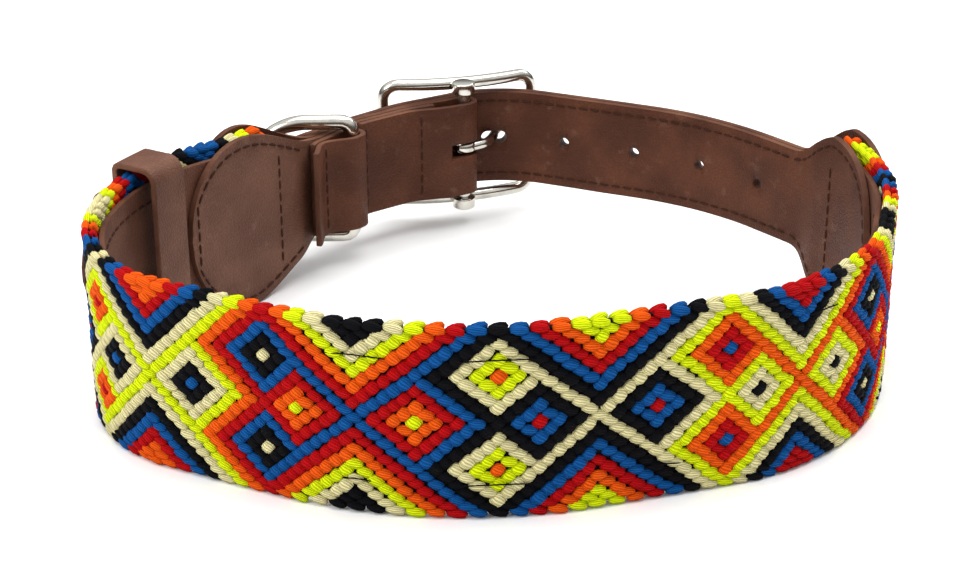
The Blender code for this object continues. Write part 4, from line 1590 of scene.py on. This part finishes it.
# ======================================================================================
# Stitches
# ======================================================================================
@dataclass
class Stitching:
    """Waxed-thread seams, one short stitch after another."""

    palette: Palette
    pitch: float = 3.3 * MM
    half_length: float = 1.35 * MM
    radius: float = 0.34 * MM
    sink: float = 0.02 * MM

    def run(self, name: str, route: Sequence[tuple[float, float]],
            n_of: Callable[[float], float], side: int,
            middle_of: Callable[[float], float] = middle, thickness: float = LEATHER) -> None:
        """Sew one seam.

        Args:
            name: name of the seam, which the CAD thread has too.
            route: distance along the collar and height from the middle line.
            n_of: n of the layer sewn.
            side: 1 on its outer face, -1 on its inner face.
            middle_of: height of the middle line.
            thickness: thickness of the layer.
        """
        lifted = side * (thickness / 2 + self.sink)
        points = [spot(u, n_of(u) + lifted, middle_of(u) + height) for u, height in route]
        spans = [(b - a).length for a, b in zip(points, points[1:])]
        total = sum(spans)
        count = max(1, round(total / self.pitch))
        matrices, travelled, index = [], 0.0, 0
        for k in range(count):
            goal = (k + 0.5) * total / count
            while index < len(spans) - 1 and travelled + spans[index] < goal:
                travelled += spans[index]
                index += 1
            a, b = points[index], points[index + 1]
            t = (goal - travelled) / spans[index]
            turn = UP.rotation_difference((b - a).normalized()).to_matrix().to_4x4()
            size = Matrix.Diagonal((self.radius, self.radius, self.half_length, 1.0))
            matrices.append(Matrix.Translation(a.lerp(b, t)) @ turn @ size)
        placed(f"{name}_stitches", repeated(self.unit, matrices), [self.palette.thread],
               Body.COLLAR, Slot.THREAD, [name])

    def contour(self, shield: Shield, skip: float = 0.0) -> list[tuple[float, float]]:
        """Route round a shield, inside its outline, from its lower to its upper side.

        Args:
            shield: the shield.
            skip: length left out at the start of the flare.

        Returns:
            The route.
        """
        steps = 60
        reach = shield.flare + shield.rounding - SEAM_INSET
        lower = []
        for i in range(steps + 1):
            far = skip + (reach - skip) * math.sin(math.pi / 2 * i / steps)
            lower.append((shield.start + shield.direction * far,
                          shield.half(far) - SEAM_INSET))
        lower = [(u, height) for u, height in lower if height > 0.5 * MM]
        tip = [(shield.start + shield.direction * reach, 0.0)]
        return [(u, -z) for u, z in lower] + tip + lower[::-1]

    def build(self, tab: RingAndTab) -> None:
        """Sew every seam.

        Args:
            tab: the D-ring's tab, for its seam.
        """
        self.unit = lobe(8, 5, 0.10)
        past = RING_AT + tab.tail + 1 * MM - LEFT_SHIELD_AT
        self.run("left_shield_needle_thread", self.contour(LEFT_INNER, past), inner_n, -1)
        self.run("left_shield_bobbin_thread", self.contour(LEFT_OUTER), outer_n, 1)
        self.run("right_shield_needle_thread", self.contour(RIGHT_INNER), inner_n, -1)
        self.run("right_shield_bobbin_thread", self.contour(RIGHT_OUTER), outer_n, 1)
        row = LINING_HEIGHT / 2 - LINING_SEAM_INSET
        for sign, side in ((1, "upper"), (-1, "lower")):
            route = [(u, sign * row) for u in stations(
                LEFT_INNER.end + 1 * MM, plan.length + RIGHT_INNER.end - 1 * MM, 2 * MM)]
            self.run(f"{side}_lining_thread", route, lambda u: LINING_N, -1, band_middle,
                     LINING_THICKNESS)
            edge = sign * (STRAP_WIDTH / 2 - SEAM_INSET)
            for kind, layer, face, last in (("needle", 0, -1, ROD_AT - 5.5 * MM),
                                            ("bobbin", 1, 1, TAIL_END - 8 * MM)):
                route = [(u, edge) for u in stations(RIGHT_SHIELD_AT + 1 * MM, last, 2 * MM)]
                self.run(f"{side}_strap_{kind}_thread", route,
                         lambda u, k=layer: hole_strap_n(u, k), face)
        far = RIGHT_SHIELD_AT - SHIELD_TO_BAND + 2 * MM
        high = SHIELD_HEIGHT / 2 - 8 * MM
        low = STRAP_WIDTH / 2 - 1.5 * MM
        for name, u, half, n_of in (
                ("left_band_end_thread", BAND_START - 2 * MM, high, inner_n),
                ("right_band_end_thread", far, high, inner_n),
                ("flap_near_thread", ROD_AT + 14.5 * MM, low, flap_n),
                ("flap_far_thread", ROD_AT + FOLD_LENGTH - 1.5 * MM, low, flap_n),
                ("dring_tab_thread", RING_AT + tab.seam_at, tab.tab_height / 2 - 1.5 * MM,
                 tab.closed_n)):
            self.run(name, [(u, -half), (u, half)], n_of, -1)


# ======================================================================================
# Studio
# ======================================================================================
@dataclass
class Studio:
    """Pale floor, soft lights and the camera."""

    eye: tuple[float, float, float] = (-0.0011, -0.4783, 0.2346)
    tilt: float = math.radians(65.0)
    lens: float = 79.35

    def floor(self) -> None:
        """Lay the floor."""
        bm = bmesh.new()
        bmesh.ops.create_grid(bm, x_segments=1, y_segments=1, size=25.0)
        mesh = bpy.data.meshes.new("floor")
        bm.to_mesh(mesh)
        bm.free()
        made = bpy.data.objects.new("floor", mesh)
        bpy.context.collection.objects.link(made)
        look = bpy.data.materials.new("pale_floor")
        look.use_nodes = True
        shader = look.node_tree.nodes["Principled BSDF"]
        shader.inputs["Base Color"].default_value = (0.985, 0.985, 0.985, 1.0)
        shader.inputs["Roughness"].default_value = 0.32
        shader.inputs["Specular IOR Level"].default_value = 0.35
        mesh.materials.append(look)

    def lamp(self, name: str, place: tuple[float, float, float], size: float,
             power: float) -> None:
        """Hang a soft square lamp that faces the collar.

        Args:
            name: its name.
            place: where it hangs.
            size: length of its side.
            power: its power in watts.
        """
        light = bpy.data.lights.new(name, "AREA")
        light.size = size
        light.energy = power
        made = bpy.data.objects.new(name, light)
        made.location = place
        made.rotation_mode = "QUATERNION"
        made.rotation_quaternion = (-Vector(place)).to_track_quat("-Z", "Y")
        bpy.context.collection.objects.link(made)

    def build(self) -> None:
        """Set up the floor, the lights, the sky and the camera."""
        self.floor()
        self.lamp("overhead", (0.05, 0.10, 1.0), 0.9, 9.0)
        self.lamp("window", (-0.8, -0.5, 0.7), 0.5, 5.0)
        self.lamp("back_window", (0.7, 0.7, 0.8), 0.5, 4.0)
        world = bpy.data.worlds.new("studio")
        world.use_nodes = True
        nodes = Nodes(world.node_tree)
        back = world.node_tree.nodes["Background"]
        way = nodes.add("ShaderNodeTexCoord").outputs["Generated"]
        height = nodes.add("ShaderNodeSeparateXYZ", {0: way}).outputs["Z"]
        sky = nodes.blend(nodes.ramp(height, 0.10, 0.62), (0.13, 0.13, 0.125, 1.0),
                          (1.0, 1.0, 1.0, 1.0))
        world.node_tree.links.new(sky, back.inputs["Color"])
        back.inputs["Strength"].default_value = 0.95
        bpy.context.scene.world = world
        bpy.context.scene.view_settings.view_transform = "Standard"
        camera = bpy.data.cameras.new("camera")
        camera.lens = self.lens
        camera.sensor_width = 36.0
        camera.clip_start = 0.01
        made = bpy.data.objects.new("camera", camera)
        made.location = self.eye
        made.rotation_euler = (self.tilt, 0.0, 0.0)
        bpy.context.collection.objects.link(made)
        bpy.context.scene.camera = made


def main() -> None:
    """Build the collar piece by piece."""
    logging.basicConfig(level=logging.INFO)
    palette = Palette()
    Studio().build()
    KnottedBand(palette).build()
    LeatherWork(palette).build()
    Buckle(palette).build()
    fittings = RingAndTab(palette)
    fittings.build()
    Keeper(palette).build()
    Stitching(palette).build(fittings)


if __name__ == "__main__":
    main()
